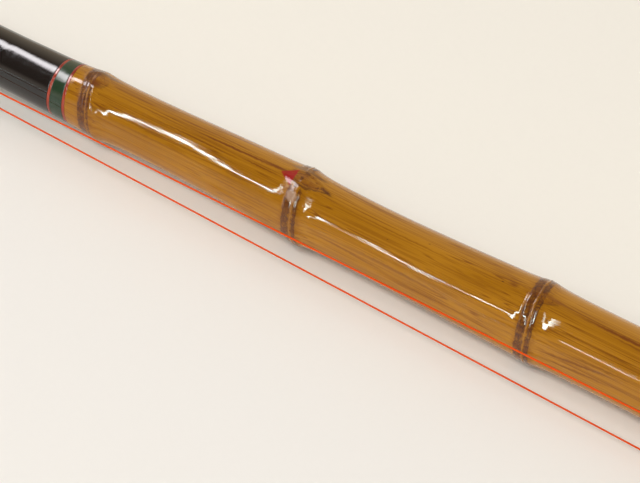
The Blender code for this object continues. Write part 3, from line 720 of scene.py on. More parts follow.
def rolled(outline, sides, shape, attributes=None):
    # a grid rolled up round the rod: outline gives (u, radius) of each row, shape places them
    piece, row, column = gridOf(len(outline) - 1, sides)
    mesh = piece.data
    turn = tau * column / sides - pi
    u, radius = np.array(outline, float)[row].T
    mesh.vertices.foreach_set("co", placed(shape(u, radius, turn)).ravel())
    for key, values in (attributes(u, turn) if attributes else {}).items():
        layer = mesh.attributes.new(key, "FLOAT", "POINT")
        layer.data.foreach_set("value", values.astype(np.float32))
    bpy.ops.object.mode_set(mode="EDIT")
    closeMesh(0.001 * mm)
    while mesh.uv_layers:
        mesh.uv_layers.remove(mesh.uv_layers[0])
    return piece


def stations(start, end, places, near, step, spacing):
    # rows along the rod: step apart within near of each place, spacing apart elsewhere
    rows = {start, end}
    for place in places:
        count = int(near / step)
        rows.update(place + step * k for k in range(-count, count + 1))
    rows = sorted(r for r in rows if start <= r <= end)
    for a, b in zip(list(rows), rows[1:]):
        count = int((b - a) / spacing)
        rows += [a + (b - a) * k / (count + 1) for k in range(1, count + 1)]
    return sorted(rows)


def smoothPath(points, steps):
    # Catmull-Rom curve through the points
    route = [Vector(p) for p in points]
    padded = [route[0] * 2 - route[1], *route, route[-1] * 2 - route[-2]]
    found = []
    for before, start, end, after in zip(padded, padded[1:], padded[2:], padded[3:]):
        for t in (k / steps for k in range(steps)):
            found.append(0.5 * (
                2 * start + (end - before) * t
                + (2 * before - 5 * start + 4 * end - after) * t * t
                + (3 * start - before - 3 * end + after) * t ** 3))
    return [*found, route[-1]]


# The line: from the hook on the keeper eye, round the button, back through the eye to the tip.
# Its points are (u, round the rod, height) on the line's side.

line = {
    "radius": 0.2, "eye u": -176.0, "start u": -165.3, "button u": 130.0,
    "hook crossing": (-176.0, -0.35, 11.15), "through eye": (-176.0, 0.5, 10.7),
    "half turn radius": 6.0, "groove height": 14.7, "turns": 48,
    "knot": (-800.6, 0.0, 3.3), "split u": -430.0, "gap": 0.04,
}
lineLower, lineUpper = ((line["button u"], side * line["half turn radius"], line["groove height"])
                        for side in (-1, 1))


def alongStrand(start, end, places):
    # where a straight strand passes each u
    parts = [(u - start[0]) / (end[0] - start[0]) for u in places]
    return [tuple(a + (b - a) * part for a, b in zip(start, end)) for part in parts]


def lineRoutes():
    buttonU, away, height = lineUpper
    grip = alongStrand(line["hook crossing"], lineLower, (line["start u"], -120, -60, 0, 60, 110))
    for angle in (pi * k / line["turns"] for k in range(line["turns"] + 1)):
        grip.append((buttonU + away * sin(angle), -away * cos(angle), height))
    through, knot, split = line["through eye"], line["knot"], line["split u"]
    grip += alongStrand(through, lineUpper, (110, 60, 0, -60, -120, -165))
    grip.append(through)
    grip += alongStrand(through, knot, [-187 - 9 * k for k in range(27)] + [split])
    start = split - line["gap"]
    tip = alongStrand(through, knot, [start + (knot[0] - start) * k / 60 for k in range(61)])
    return placed(fromLineSide(grip)), placed(fromLineSide(tip))


def pathLength(path):
    return float(np.linalg.norm(np.diff(path, axis=0), axis=1).sum())


def makeLine(path, node, behind, front, start, end):
    # a round tube; past start, where it stretches as the sections are drawn out, it follows front
    curve = bpy.data.curves.new("strand", "CURVE")
    curve.dimensions = "3D"
    curve.bevel_depth = line["radius"] * mm
    curve.bevel_resolution = 4
    curve.use_fill_caps = True
    spline = curve.splines.new("POLY")
    spline.points.add(len(path) - 1)
    for target, point in zip(spline.points, path):
        target.co = (*point, 1.0)
    select(added("strand", curve))
    bpy.ops.object.convert(target="MESH")
    run = finishPiece(bpy.context.object, "line", None, node)
    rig.blend(run, behind, front, *(placed([[u, 0, 0]])[0] for u in (start, end)))
    return run


gripPath, tipPath = lineRoutes()
gripRun = makeLine(gripPath, "line_grip_run", "grip", "middle", -200, -420)
tipRun = makeLine(tipPath, "line_tip_run", "middle", "tip", -530, -780)
print("line ready")


# Culm of the grip. It is drawn in by a recess where bands cover it; a bore is its radius and depth.

gripCulm = {"sides": 144, "front": -61.25, "recess": 0.7, "butt recess": 236.9, "skin from": 6.8,
            "mouth": -186.0, "end": 248.0, "socket": (4.3, 50.0), "butt bore": (3.8, 26.0)}


def outsideGap(gap, off, side):
    # 0 where a bud interrupts its node's rings, 1 elsewhere
    if not gap:
        return 1
    wavy = side + 4 * np.sin(off * 2.3) + 3 * np.sin(off * 5.1 + 1)
    return np.clip((np.abs(wavy - sum(gap) / 2) - (gap[1] - gap[0]) / 2) / 10 + 0.5, 0, 1)


def inBud(bud, u, side):
    # a place within a bud: 0 at its middle, 1 at its edge
    offU = (u - bud["u"]) / bud["length"]
    offSide = (side - bud["side"]) / bud["turn"]
    return offU, offSide / (1 - bud["taper"] * np.clip(offU, 0, 1))


def hump(off, size):
    return np.exp(-((off / size) ** 2))


def rise(off, size):
    # from 0 to 1 about off = 0; past 60 sizes it is flat
    return 1 / (1 + np.exp(-np.clip(off / size, -60, 60)))


def gripRelief(u, turn):
    # what the bamboo's surface adds to its round body, in millimetres
    side = np.degrees(turn)
    relief = 0.012 * np.sin(turn * 11 + 0.02 * u) + 0.008 * np.sin(turn * 17 - 0.015 * u + 1)
    relief = relief + 0.0015 * np.sin(turn * 41 + 0.01 * u + np.sin(turn * 5))
    for place, middle, length, half, height in swells:
        relief = relief + height * np.exp(-((u - place) / length) ** 2 - ((side - middle) / half) ** 2)
    for node in gripNodes:
        off = u - node["u"]
        start, end, bead = node["frontRing"][0], node["rearRing"][1], node["bead"]
        uneven = 0.22 * np.sin(turn * 3 + node["u"]) + 0.12 * np.sin(turn * 7 + 2 * node["u"])
        lip = rise(off - start - 0.25 + uneven * 0.8, 0.13) * np.exp(-np.clip(off - start, 0, None) / 2)
        groove = hump(off - bead - 0.42, 0.14) + 0.7 * hump(off - bead + 0.4, 0.14)
        step = rise(-(off - end - 0.05 + uneven * 0.5), 0.14) * np.exp(-np.clip(end - off, 0, None))
        carved = 0.11 * lip + 0.085 * hump(off - bead + uneven * 0.2, 0.15) - 0.06 * groove + 0.06 * step
        carved = carved * node["carved"]
        relief = relief + carved * (0.15 + 0.85 * outsideGap(node["gap"], off, side))
    for bud in buds:
        offU, offSide = inBud(bud, u, side)
        ragged = 1 + 0.12 * np.sin(3 * np.arctan2(offSide, offU) + bud["u"])
        shape = np.sqrt(offU ** 2 + offSide ** 2) * ragged
        dish = np.exp(-((shape / 0.72) ** 4)) - 0.45 * hump(shape - 0.98, 0.2)
        scale = np.exp(-((offU + 0.1) ** 2 + offSide ** 2) / 0.1)
        relief = relief - bud["depth"] * (dish - 0.8 * scale)
    return relief


def skinAttributes(u, turn):
    # what the bamboo's colours need to know of each point: where it lies along the rod and round
    # it, in the rings of the nearest node and in the nearest bud
    side = np.degrees(turn)
    found = {"along": u, "side": side, **{key: np.zeros(len(u)) for key in gripAttributes[2:]}}
    nearest = np.argmin([np.abs(u - node["u"]) for node in gripNodes], 0)
    for number, (node, bud) in enumerate(zip(gripNodes, buds)):
        here = nearest == number
        off = u[here] - node["u"]
        (start, front), (rear, end) = node["frontRing"], node["rearRing"]
        found["ring"][here] = np.interp(off, (start - 8, start, front, rear, end, end + 8),
                                        (-8, 0, 1, 1.4, 2.4, 10.4))
        dark = np.clip((7 - np.abs(off)) / 2, 0, 1) * node["dark"]
        dark = dark * (0.08 + 0.92 * outsideGap(node["gap"], off, side[here]))
        budU, budSide = inBud(bud, u[here], side[here])
        found["dark"][here] = dark
        found["bead"][here] = dark * node["strip"]
        found["budU"][here] = np.clip(budU, -3, 3)
        found["budSide"][here] = np.where(np.abs(budU) > 2, 5, np.clip(budSide, -5, 5))
        found["budRim"][here] = bud["rim"]
    return found


def rowsOver(radiusAt, places, drop=0):
    return [(u, radiusAt(u) - drop) for u in places]


def makeGripCulm():
    c = gripCulm
    places = [node["u"] for node in gripNodes]
    # rows of faces are finest about the three nodes in the light
    rows = stations(c["front"], c["butt recess"], places[:3], 4, 0.16, 1.1)
    rows = sorted({*rows, *stations(100, 232, places[3:], 3.2, 0.4, 200)})
    (bore, depth), (buttBore, buttDepth) = c["socket"], c["butt bore"]
    mouth, end = c["mouth"], c["end"]
    front = (mouth, -150, -110, -80, -73, -69, c["front"] - 0.01)
    outline = [(mouth + depth, 0), (mouth + depth, bore), (mouth + 0.3, bore), (mouth, bore + 0.3)]
    outline += rowsOver(gripRadius, front, c["recess"]) + rowsOver(gripRadius, rows)
    outline += rowsOver(gripRadius, (c["butt recess"] + 0.01, end - 0.3, end), c["recess"])
    outline += [(end, buttBore + 0.3), (end - 0.3, buttBore), (end - buttDepth, buttBore)]
    outline += [(end - buttDepth, 0)]

    def shape(u, radius, turn):
        outer = (radius > c["skin from"]) & (u >= c["front"]) & (u <= c["butt recess"])
        radius = radius + np.where(outer, gripRelief(u, turn), 0.0)
        points = gripPoints(u, radius, turn)
        inner = radius < 5
        points[inner] = straightPoints(u, radius, turn)[inner]
        return points

    culm = rolled(outline, c["sides"], shape, skinAttributes)
    finishPiece(culm, "grip bamboo", "grip", "grip_culm")
    print("grip culm:", len(culm.data.polygons), "faces")


makeGripCulm()
print("grip culm ready")


# Lacquered bands and wound thread: node, front and rear u, how proud they stand, finish

gripBands = [
    ("mouth_wrap", -186, -180.45, 0.35, "thread"),
    ("mouth_red_ring", -180.4, -179, 0.03, "red"),
    ("black_socket_wrap", -178.95, -65.93, 0.03, "black"),
    ("front_red_ring", -65.9, -65.25, 0.03, "red"),
    ("green_band", -65.22, -62.03, 0.03, "green"),
    ("rear_red_ring", -62, -61.3, 0.03, "red"),
    ("butt_red_ring", 237.1, 238.5, 0.03, "red"),
    ("butt_wrap", 238.6, 247.8, 0.05, "thread"),
]
bandEdge = 0.05
threadSize, threadRise = 0.24, 0.085


def threadOutline(front, rear, radiusAt, proud, inner):
    # rows over a close winding: each turn of thread is a small round ridge
    turns = max(2, round((rear - front) / threadSize))
    size = (rear - front) / turns
    rows = [(front, radiusAt(front) + inner)]
    for k in range(turns):
        for part, lift in ((0, 0), (0.18, 0.055), (0.5, threadRise), (0.82, 0.055)):
            u = front + (k + part) * size
            rows.append((u, radiusAt(u) + proud - threadRise + lift))
    rows.append((rear, radiusAt(rear) + proud - threadRise))
    return [*rows, (rear, radiusAt(rear) + inner), rows[0]]


def smoothOutline(front, rear, radiusAt, proud, inner):
    # rows over a lacquered band with slightly rounded edges
    low, high = radiusAt(front), radiusAt(rear)
    middle = stations(front + 3 * bandEdge, rear - 3 * bandEdge, [], 0, 1, 1.2)
    rows = [(front, low + inner), (front, low + proud - bandEdge)]
    rows += [(front + bandEdge * 0.3, low + proud - bandEdge * 0.3)]
    rows += rowsOver(radiusAt, (front + bandEdge, *middle, rear - bandEdge), -proud)
    rows += [(rear - bandEdge * 0.3, high + proud - bandEdge * 0.3)]
    return [*rows, (rear, high + proud - bandEdge), (rear, high + inner), rows[0]]


def makeBands(body, bands, radiusAt, sides, shape=straightPoints, inner=0.02):
    for node, front, rear, proud, kind in bands:
        makeOutline = threadOutline if kind == "thread" else smoothOutline
        band = rolled(makeOutline(front, rear, radiusAt, proud, inner), sides, shape)
        finishPiece(band, kind, body, node)


makeBands("grip", gripBands, gripRadius, 112, gripPoints, -0.4)
print("grip bands ready")


# Turned pieces: an outline extruded point by point, then spun

def spun(outline, centre, direction, steps):
    # outline points are in the frame's metres; one that closes repeats its first point
    select()
    points = [Vector(p) for p in outline]
    bpy.ops.mesh.primitive_plane_add(size=0.001, location=points[0])
    piece = bpy.context.object
    bpy.ops.object.mode_set(mode="EDIT")
    bpy.ops.mesh.select_all(action="SELECT")
    bpy.ops.mesh.merge(type="CENTER")
    for start, end in zip(points, points[1:]):
        bpy.ops.mesh.extrude_vertices_move(TRANSFORM_OT_translate={"value": tuple(end - start)})
    bpy.ops.mesh.select_all(action="SELECT")
    bpy.ops.mesh.spin(steps=steps, angle=tau, center=tuple(centre), axis=tuple(direction))
    closeMesh(0.002 * mm)
    piece.data.transform(piece.matrix_world)
    piece.matrix_world = Matrix.Identity(4)
    return piece


def arc(centreAlong, centreOut, radius, start, end, count):
    # points of an arc in (along, out), in degrees
    turns = [radians(start + (end - start) * k / count) for k in range(count + 1)]
    return [(centreAlong + radius * cos(t), centreOut + radius * sin(t)) for t in turns]


def spunOnRod(outline, steps):
    return spun(placed([(u, 0, radius) for u, radius in outline]), axis, (1, 0, 0), steps)


def spunOnButton(outline, steps):
    # outline of (radius, height) about the button's pin
    pin = line["button u"]
    foot, head = placed(fromLineSide([(pin, 0, 0), (pin, 0, 1)]))
    outline = placed(fromLineSide([(pin + r, 0, h) for r, h in outline]))
    return spun(outline, foot, Vector(head - foot).normalized(), steps)


def sweptMesh(path, radii, sides, lobes=0, twist=0.0, depth=0.0):
    # a tube along a path of millimetre points on the line's side, its ends closed to a point;
    # lobes and twist lay strands round it
    path = [Vector(p) for p in path]
    frames = []
    normal = Vector((0.31, 0.57, 0.76))
    for before, point, after in zip(path[:1] + path, path, path[1:] + path[-1:]):
        ahead = (after - before).normalized()
        normal = (normal - normal.dot(ahead) * ahead).normalized()
        frames.append((point, normal.copy(), ahead.cross(normal)))
    lengths = np.concatenate([[0], np.cumsum([(b - a).length for a, b in zip(path, path[1:])])])
    last = len(path) - 1
    outline = [(0, 0), *zip(range(last + 1), radii), (last, 0)]

    def shape(i, radius, turn):
        i = i.astype(int)
        centre, first, second = (np.array([frame[k] for frame in frames])[i] for k in range(3))
        strand = 1 - depth * (0.5 + 0.5 * np.cos(lobes * (turn - twist * lengths[i])))
        out = (radius * (strand if lobes else 1))[:, None]
        across = np.cos(turn)[:, None] * first + np.sin(turn)[:, None] * second
        return fromLineSide(centre + out * across)

    return rolled(outline, sides, shape)


# Keeper eye on the line's side: a wire loop, its foot bound down with thread

keeper = {"wire": 0.5, "loop": 1.9, "height": 10.3, "wrap": (-171.0, -159.0),
          "hump": 1.35, "hump half": 10.0, "thread": 0.4}
saddle = {"top": 12.9, "length": 28.0, "foot": 7.5, "hump": 1.75, "hump half": 18.0,
          "wrap length": 5.0, "width": 4.2, "pin hole": 1.4}


def footWrap(node, front, rear, s):
    # thread wound over a foot: close turns that climb over it
    outline = threadOutline(front, rear, gripRadius, keeper["thread"], 0.02)

    def shape(u, radius, turn):
        off = np.degrees(np.abs(turn))
        climb = np.clip(1 - (off - s["hump half"]) / (1.6 * s["hump half"]), 0, 1)
        radius = radius + s["hump"] * climb * climb * (3 - 2 * climb)
        return fromLineSide(np.stack([u, radius * np.sin(turn), radius * np.cos(turn)], 1))

    finishPiece(rolled(outline, 112, shape), "thread", "grip", node)


def makeKeeper():
    front, rear = keeper["wrap"]
    wire, wide = keeper["wire"], keeper["loop"]
    foot = gripRadius((front + rear) / 2) + 0.3 + wire
    route = [(u, 0, foot) for u in (rear + 1.5, rear - 3, front + 4, front - 0.6)]
    route.append((front - 2.8, -0.1, foot + 0.35))
    for k in range(25):
        angle = radians(-90 + 335 * k / 24)
        route.append((line["eye u"] + 0.65 - 1.3 * k / 24, -wide * cos(angle),
                      keeper["height"] + wide * sin(angle)))
    path = smoothPath(route, 4)
    radii = [wire * min(1, 0.35 + 0.2 * k) for k in range(len(path))]      # its foot is filed thin
    radii[-3:] = [wire * 0.98, wire * 0.9, wire * 0.7]
    finishPiece(sweptMesh(path, radii, 24), "brass", "grip", "keeper_eye")
    footWrap("keeper_wrap", front, rear, keeper)


def makeSaddle():
    s, centre = saddle, line["button u"]
    half, top = s["length"] / 2, s["top"]
    body = half - s["foot"]
    # distance from the pin, half width, height above the culm (None: the flat top)
    sections = [(-half, 0.9, 0.25), (-half + 0.25, 1.5, 0.42), (-half + 0.8, 2, 0.7),
                (-half + 3, 2.3, 0.85), (-body - 1.6, 2.5, 0.9), (-body - 0.8, 2.8, 1.15),
                (-body - 0.2, 3.4, 1.9), (-body + 0.3, 3.9, 2.9), (-body + 0.9, 4.15, 3.5),
                (-body + 1.5, s["width"], None), (-body + 3.6, s["width"], None)]
    sections += [(-x, width, height) for x, width, height in reversed(sections)]

    def shape(row, radius, turn):
        x, width, height = np.array(sections, float)[row.astype(int)].T
        base = gripRadius(centre + x) + 0.05
        roof = np.where(np.isnan(height), top, base + height)
        # a rounded box: its lower face follows the culm
        wide, high = (np.sign(way) * np.abs(way) ** 0.35 for way in (np.cos(turn), np.sin(turn)))
        y = width * wide
        under = np.sqrt(base ** 2 - np.clip(np.abs(y), 0, 4.3) ** 2)
        middle = (roof + under) / 2
        y = np.where(radius > 0, y, 0)
        z = middle + np.where(radius > 0, (roof - under) / 2 * high, 0)
        return fromLineSide(np.stack([centre + x, y, z], 1))

    last = len(sections) - 1
    block = rolled([(0, 0), *((i, 1) for i in range(last + 1)), (last, 0)], 40, shape)
    select()
    bpy.ops.mesh.primitive_cylinder_add(
        vertices=48, radius=s["pin hole"] * mm, depth=12 * mm, rotation=(sideTurn, 0, 0),
        location=placed(fromLineSide([(centre, 0, top)]))[0])
    cutter = bpy.context.object
    select(block)
    hole = block.modifiers.new("pinHole", "BOOLEAN")
    hole.operation = "DIFFERENCE"
    hole.object = cutter
    bpy.ops.object.modifier_apply(modifier=hole.name)
    bpy.data.objects.remove(cutter)
    finishPiece(block, "horn", "grip", "button_saddle")
    front, rear = centre - half + 1, centre + half - 1 - s["wrap length"]
    footWrap("saddle_wrap_front", front, front + s["wrap length"], s)
    footWrap("saddle_wrap_rear", rear, rear + s["wrap length"], s)


button = {"rim": 8.0, "groove": 5.72, "foot": 13.2, "pin": 1.1, "pin top": 19.2,
          "pin length": 9.3, "head": 2.6, "head thick": 1.0, "washer": 2.9, "washer thick": 0.35}


def makeButton():
    b, middle = button, line["groove height"]
    hole, rim, groove, foot = b["pin"] + 0.12, b["rim"], b["groove"], b["foot"]
    outline = [(hole, foot), (rim - 0.5, foot), *arc(rim - 0.5, foot + 0.35, 0.4, -80, 80, 8)]
    outline += [(groove + 1.5, middle - 0.62), (groove + 0.7, middle - 0.5)]
    outline += arc(groove + 0.32, middle, 0.32, 250, 110, 8)
    outline += [(groove + 0.7, middle + 0.5), (groove + 1.5, middle + 0.7)]
    outline += arc(rim - 0.55, middle + 1.35, 0.5, -75, 75, 8)
    # its face has two turned lines and a shallow dish round the pin
    face = [(rim - 1.2, 1.98), (6.2, 2.28), (5.6, 2.5), (5.3, 2.42), (5.15, 2.55), (4.9, 2.42),
            (4.7, 2.55), (3.6, 2.58), (3.2, 2.5), (hole + 0.15, 2.42), (hole, 2.3)]
    outline += [(radius, middle + height) for radius, height in face]
    wheel = spunOnButton([*outline, (hole, foot)], 112)
    finishPiece(wheel, "horn", "button", "line_button", angle=30)

    pin, head, wide = b["pin"], b["head"], b["washer"]
    foot, top = b["pin top"] - b["pin length"], b["pin top"]
    under = top - b["head thick"]
    outline = [(0, foot), (pin - 0.2, foot), (pin, foot + 0.3), (pin, under), (head - 0.15, under)]
    outline += [(head, under + 0.15)]
    outline += [(head * cos(radians(t)), top - 0.7 + 0.7 * sin(radians(t))) for t in (8, 22, 38, 54, 70)]
    finishPiece(spunOnButton([*outline, (0, top)], 64), "brass", "grip", "button_pin", angle=30)

    high, low, edge = under - 0.08, under - 0.08 - b["washer thick"], 0.08
    outline = [(pin + 0.1, low), (wide - edge, low), (wide, low + edge), (wide, high - edge)]
    outline += [(wide - edge, high), (pin + 0.1, high), (pin + 0.1, low)]
    finishPiece(spunOnButton(outline, 64), "brass", "grip", "button_washer", angle=30)


# Hook on the keeper eye, tied to the line with thread

hook = {"wire": 0.25, "bend": 0.95, "snell": (-170.0, -165.34), "snell radius": 0.85}


def makeHook():
    crossing, bend = line["hook crossing"], hook["bend"]
    front, rear = hook["snell"]
    start = rear - 0.1
    path = alongStrand(crossing, lineLower, (start, start - 0.5, -167.5, -169, -171, -173, -174.6,
                                             line["eye u"] + 0.05))
    sizes = [0.6, 1, 1, 1, 1, 1, 1.05, 1.1] + [1.1] * 22
    bendU, y, shank = path[-1]
    for angle in (pi * k / 22 for k in range(1, 23)):
        path.append((bendU - bend * sin(angle), y, shank + bend * (1 - cos(angle))))
    for ahead, lift, size in ((0.6, 0.03, 1), (1.1, 0.07, 0.95), (1.3, 0.09, 1.25),
                              (1.42, 0.11, 0.85), (2, 0.2, 0.5), (2.6, 0.3, 0.06)):
        path.append((bendU + ahead, y, shank + 2 * bend + lift))
        sizes.append(size)
    wire = sweptMesh(path, [hook["wire"] * size for size in sizes], 20)
    finishPiece(wire, "steel", "grip", "hook", name="wireHook")
    outline = threadOutline(front, rear, lambda u: 0, hook["snell radius"] - 0.05, 0.3)

    def shape(u, radius, turn):
        ends = np.minimum(u - front, rear - u)
        radius = np.where(radius > 0.4, radius - 0.3 * np.exp(-ends / 0.5), radius)
        y, z = np.array(alongStrand(crossing, lineLower, u)).T[1:]
        return fromLineSide(np.stack([u, y + radius * np.cos(turn), z + radius * np.sin(turn)], 1))

    return wire, finishPiece(rolled(outline, 40, shape), "red cord", "grip", "hook_snell")


# Butt: a horn cap on a cork stem that plugs the bore

butt = {"face": 248.3, "radius": 9.44, "stem": 3.5, "stem length": 22.0}


def makeButt():
    face, wide, stem = butt["face"], butt["radius"], butt["stem"]
    seat = stem + 0.1
    # behind the face, inside the widest radius: an edge, a turned line, a bead and the crown
    outline = [(face + 3.4, 0), (face + 3.4, seat), (face, seat)]
    outline += [(face + u, wide - drop) for u, drop in (
        (0, 1.1), (0.15, 0.75), (0.55, 0.5), (0.75, 0.62), (0.95, 0.42))]
    outline += [(face + 2.4 - 1.2 * cos(radians(t)), wide - 0.35 + 0.35 * sin(radians(t)))
                for t in (10, 35, 60, 90, 120, 150)]
    outline += [(face + u, wide - drop) for u, drop in (
        (3.9, 0.3), (4.5, 0.62), (5.2, 1.2), (5.8, 1.9), (6.2, 2.45))]
    outline += [(capRear - u, radius) for u, radius in (
        (0.06, wide - 2.75), (0, wide - 3), (0, 4.6), (0.12, 4.45), (0.12, 4.2), (0, 4.05), (0, 0))]
    finishPiece(spunOnRod(outline, 112), "horn", "butt_plug", "butt_cap", angle=30)
    front = face - butt["stem length"]
    outline = [(front, 0), (front, stem - 0.55)]
    outline += [(front + u, stem - drop) for u, drop in (
        (0.15, 0.35), (0.8, 0.04), (2, 0), (7, 0.05), (14, 0))]
    outline += [(face + 2.5, stem), (face + 3.1, stem - 0.3), (face + 3.1, 0)]
    finishPiece(spunOnRod(outline, 64), "cork", "butt_plug", "butt_plug_stem")


# Middle and tip sections. Rows run from the first u to a gap ahead of the shoulder: near, step and
# spacing as in stations(). A tenon is its radius, length, count of rows, and the taper and chamfer
# of its end. The skin has relief where its radius is above "relieved".

middleSection = {
    "body": "middle", "thick": -186.0, "thin": -516.0, "shoulder": -186.3, "radii": (4.5, 3.0),
    "ridge": 0.26, "nodes": (-214, -272, -334, -398, -462), "rows": (-471.4, 0.3, 2.6, 0.26, 2.2),
    "drop": 0.25, "tenon": (4.0, 48.0, 8, 1.0, 0.6), "relieved": 2.8, "mark": 0.8, "sides": 72,
    "seat": 0.35, "bore": (2.2, 40.0),
}
tipSection = {
    "body": "tip", "thick": -516.0, "thin": -804.0, "shoulder": -516.3, "radii": (2.25, 0.65),
    "ridge": 0.17, "nodes": (-556, -598, -641, -684, -727, -768), "rows": (-804.0, 0.2, 1.8, 0.2, 2.4),
    "drop": 0.15, "tenon": (1.9, 38.0, 6, 0.8, 0.4), "relieved": 0.5, "mark": 0.55, "sides": 56,
}
seatBands = [
    ("middle_mouth_wrap", -516, -511.65, 0.9, "thread"),
    ("middle_ring_front", -511.6, -510.4, 0.65, "red"),
    ("middle_socket_wrap", -510.35, -472.85, 0.65, "black"),
    ("middle_ring_rear", -472.8, -471.6, 0.65, "red"),
]
middleBands = [("middle_base_wrap", -199, -187, 0.55, "thread")]
tipBands = [
    ("tip_base_wrap", -527.5, -517, 0.5, "thread"),
    ("tip_red_ring", -529, -527.6, 0.4, "red"),
    ("tip_splice_wrap", -712, -700, 0.5, "thread"),
]


def thinRadius(s, drop=0):
    # the section's radius at u, drawn in by drop
    def radiusAt(u):
        part = (s["thick"] - np.asarray(u, float)) / (s["thick"] - s["thin"])
        radius = s["radii"][0] + (s["radii"][1] - s["radii"][0]) * part
        for place in s["nodes"]:
            radius = radius + ridge(u - place, s["ridge"])
        return radius - drop
    return radiusAt


def makeCulm(s, front):
    # front is the outline up to the first of the section's even rows
    start, gap, near, step, spacing = s["rows"]
    tenon, length, count, taper, chamfer = s["tenon"]
    shoulder, radiusAt = s["shoulder"], thinRadius(s)
    end = shoulder + length
    outline = front + rowsOver(radiusAt, stations(start, shoulder - gap, s["nodes"], near, step, spacing))
    outline += [(shoulder, radiusAt(shoulder) - s["drop"]), (shoulder, tenon)]
    outline += [(shoulder + length * k / count, tenon) for k in range(1, count)]
    outline += [(end - taper, tenon), (end, tenon - chamfer), (end, 0)]

    def wavyOff(u, turn, place):
        return u - place + 0.12 * np.sin(2 * turn + place)

    def shape(u, radius, turn):
        relief = 0.008 * np.sin(turn * 9 + 0.02 * u) + 0.005 * np.sin(turn * 14 - 0.013 * u)
        for off in (wavyOff(u, turn, place) for place in s["nodes"]):
            relief = relief + s["ridge"] / 0.3 * (
                0.07 * hump(off + 0.35, 0.16) - 0.06 * hump(off + 0.02, 0.16)
                - 0.05 * hump(off + 0.75, 0.18))
        outer = (radius > s["relieved"]) & (u < shoulder - 0.05)
        return straightPoints(u, radius + np.where(outer, relief, 0), turn)

    def ringMarks(u, turn):
        found = np.zeros(len(u))
        for off in (wavyOff(u, turn, place) / s["mark"] for place in s["nodes"]):
            front = 1 / (1 + ((off + 1.5) / 0.75) ** 6)
            rear = 1 / (1 + ((off - 0.45) / 0.42) ** 6)
            found = np.maximum(found, 0.85 * np.maximum(front, rear))
        return {"ring": found}

    culm = rolled(outline, s["sides"], shape, ringMarks)
    finishPiece(culm, "plain bamboo", s["body"], s["body"] + "_culm")


def makeMiddle():
    s = middleSection
    (bore, depth), mouth, seatEnd = s["bore"], s["thin"], s["rows"][0]
    seatRadius = thinRadius(s, s["seat"])
    front = [(mouth + depth, 0), (mouth + depth, bore), (mouth + 0.25, bore), (mouth, bore + 0.2)]
    makeCulm(s, front + rowsOver(seatRadius, (mouth, -500, -485, seatEnd - 0.01)))
    makeBands("middle", seatBands, seatRadius, s["sides"])
    makeBands("middle", middleBands, thinRadius(s), s["sides"])


loop = {"cord": 0.35, "wide": 1.1, "height": 3.3, "wrap": 1.6}
knot = {"eye u": -804.6, "eye": 1.0, "wire": 0.2, "turns": 5, "coil": 0.42}


def makeTip():
    s = tipSection
    end = s["thin"]
    makeCulm(s, [(end, 0)])
    makeBands("tip", tipBands, thinRadius(s), s["sides"])

    # the wrap that binds the loop on tapers down to the culm at its rear
    front, rear = end - 4, end + 8

    def wrapRadius(u):
        return loop["wrap"] - max(0, (u - (rear - 3)) / 3) * 0.55

    wrap = rolled(threadOutline(front, rear, wrapRadius, 0, -0.45), 48, straightPoints)
    finishPiece(wrap, "red cord", "tip", "tip_loop_wrap")

    wide, height = loop["wide"], loop["height"]
    leg = [(end - 0.4, 0.5, 0), (end - 3.5, 0.55, 0), (end - 5.6, 0.7, 0.5),
           (end - 6.6, 0.85, height / 2), (end - 5.6, 1, height - 0.5), (end - 3.5, wide, height)]
    bend = [(u, y, height) for y, u in arc(0, end - 2, wide, 0, 180, 8)]
    back = [(u, -y, z) for u, y, z in reversed(leg)]
    path = smoothPath(leg + bend + back, 10)
    cord = sweptMesh(path, [loop["cord"]] * len(path), 20, lobes=2, twist=2.2, depth=0.3)
    finishPiece(cord, "red cord", "tip", "tip_loop")

    # the line's knot: an eye through the loop and turns wound round the strand
    path = [(line["knot"][0] - line["gap"] - 3 * k / 8, 0, height) for k in range(8)]
    path += [(u, 0, z) for u, z in arc(knot["eye u"], height, knot["eye"], 0, 322, 40)]
    turns, coil = knot["turns"], knot["coil"]
    wound = [(-803.3 + 0.46 * turns * k / 90, y, z)
             for k, (y, z) in enumerate(arc(0, height, coil, 0, 360 * turns, 90))]
    strand, coil = (sweptMesh(route, [knot["wire"]] * len(route), 14) for route in (path, wound))
    select(strand, coil)
    bpy.ops.object.join()
    return finishPiece(strand, "line", "tip", "line_knot")


makeKeeper()
makeSaddle()
makeButton()
hookPiece, snellPiece = makeHook()
print("fittings ready")
makeButt()
makeMiddle()
knotPiece = makeTip()
print("butt, middle and tip ready")


# Studio: a pale table under a soft sky. Its lights are placed as the rod sees them: along the rod
# (-1 to 1) and round it in degrees, 0 at the upper front and 90 at the lower front.

studio = {
    "table": (0.905, 0.855, 0.76), "table cool": (0.86, 0.825, 0.77), "table roughness": 0.6,
    "background": (0.90, 0.83, 0.735),
    "sky": (0.54, 0.527, 0.513),         # what the sky adds to every surface
    "front sky": (0.22, 0.16, 0.13), "rear sky": (0.85, 0.70, 0.52),    # what the lacquer mirrors
    "horizon": (1.0, 0.86, 0.72), "tip side": (2.3, 1.95, 1.85),
    "key": {"along": -0.1, "round": -5.0, "size": 1100.0, "distance": 2500.0, "level": 13.6},
}

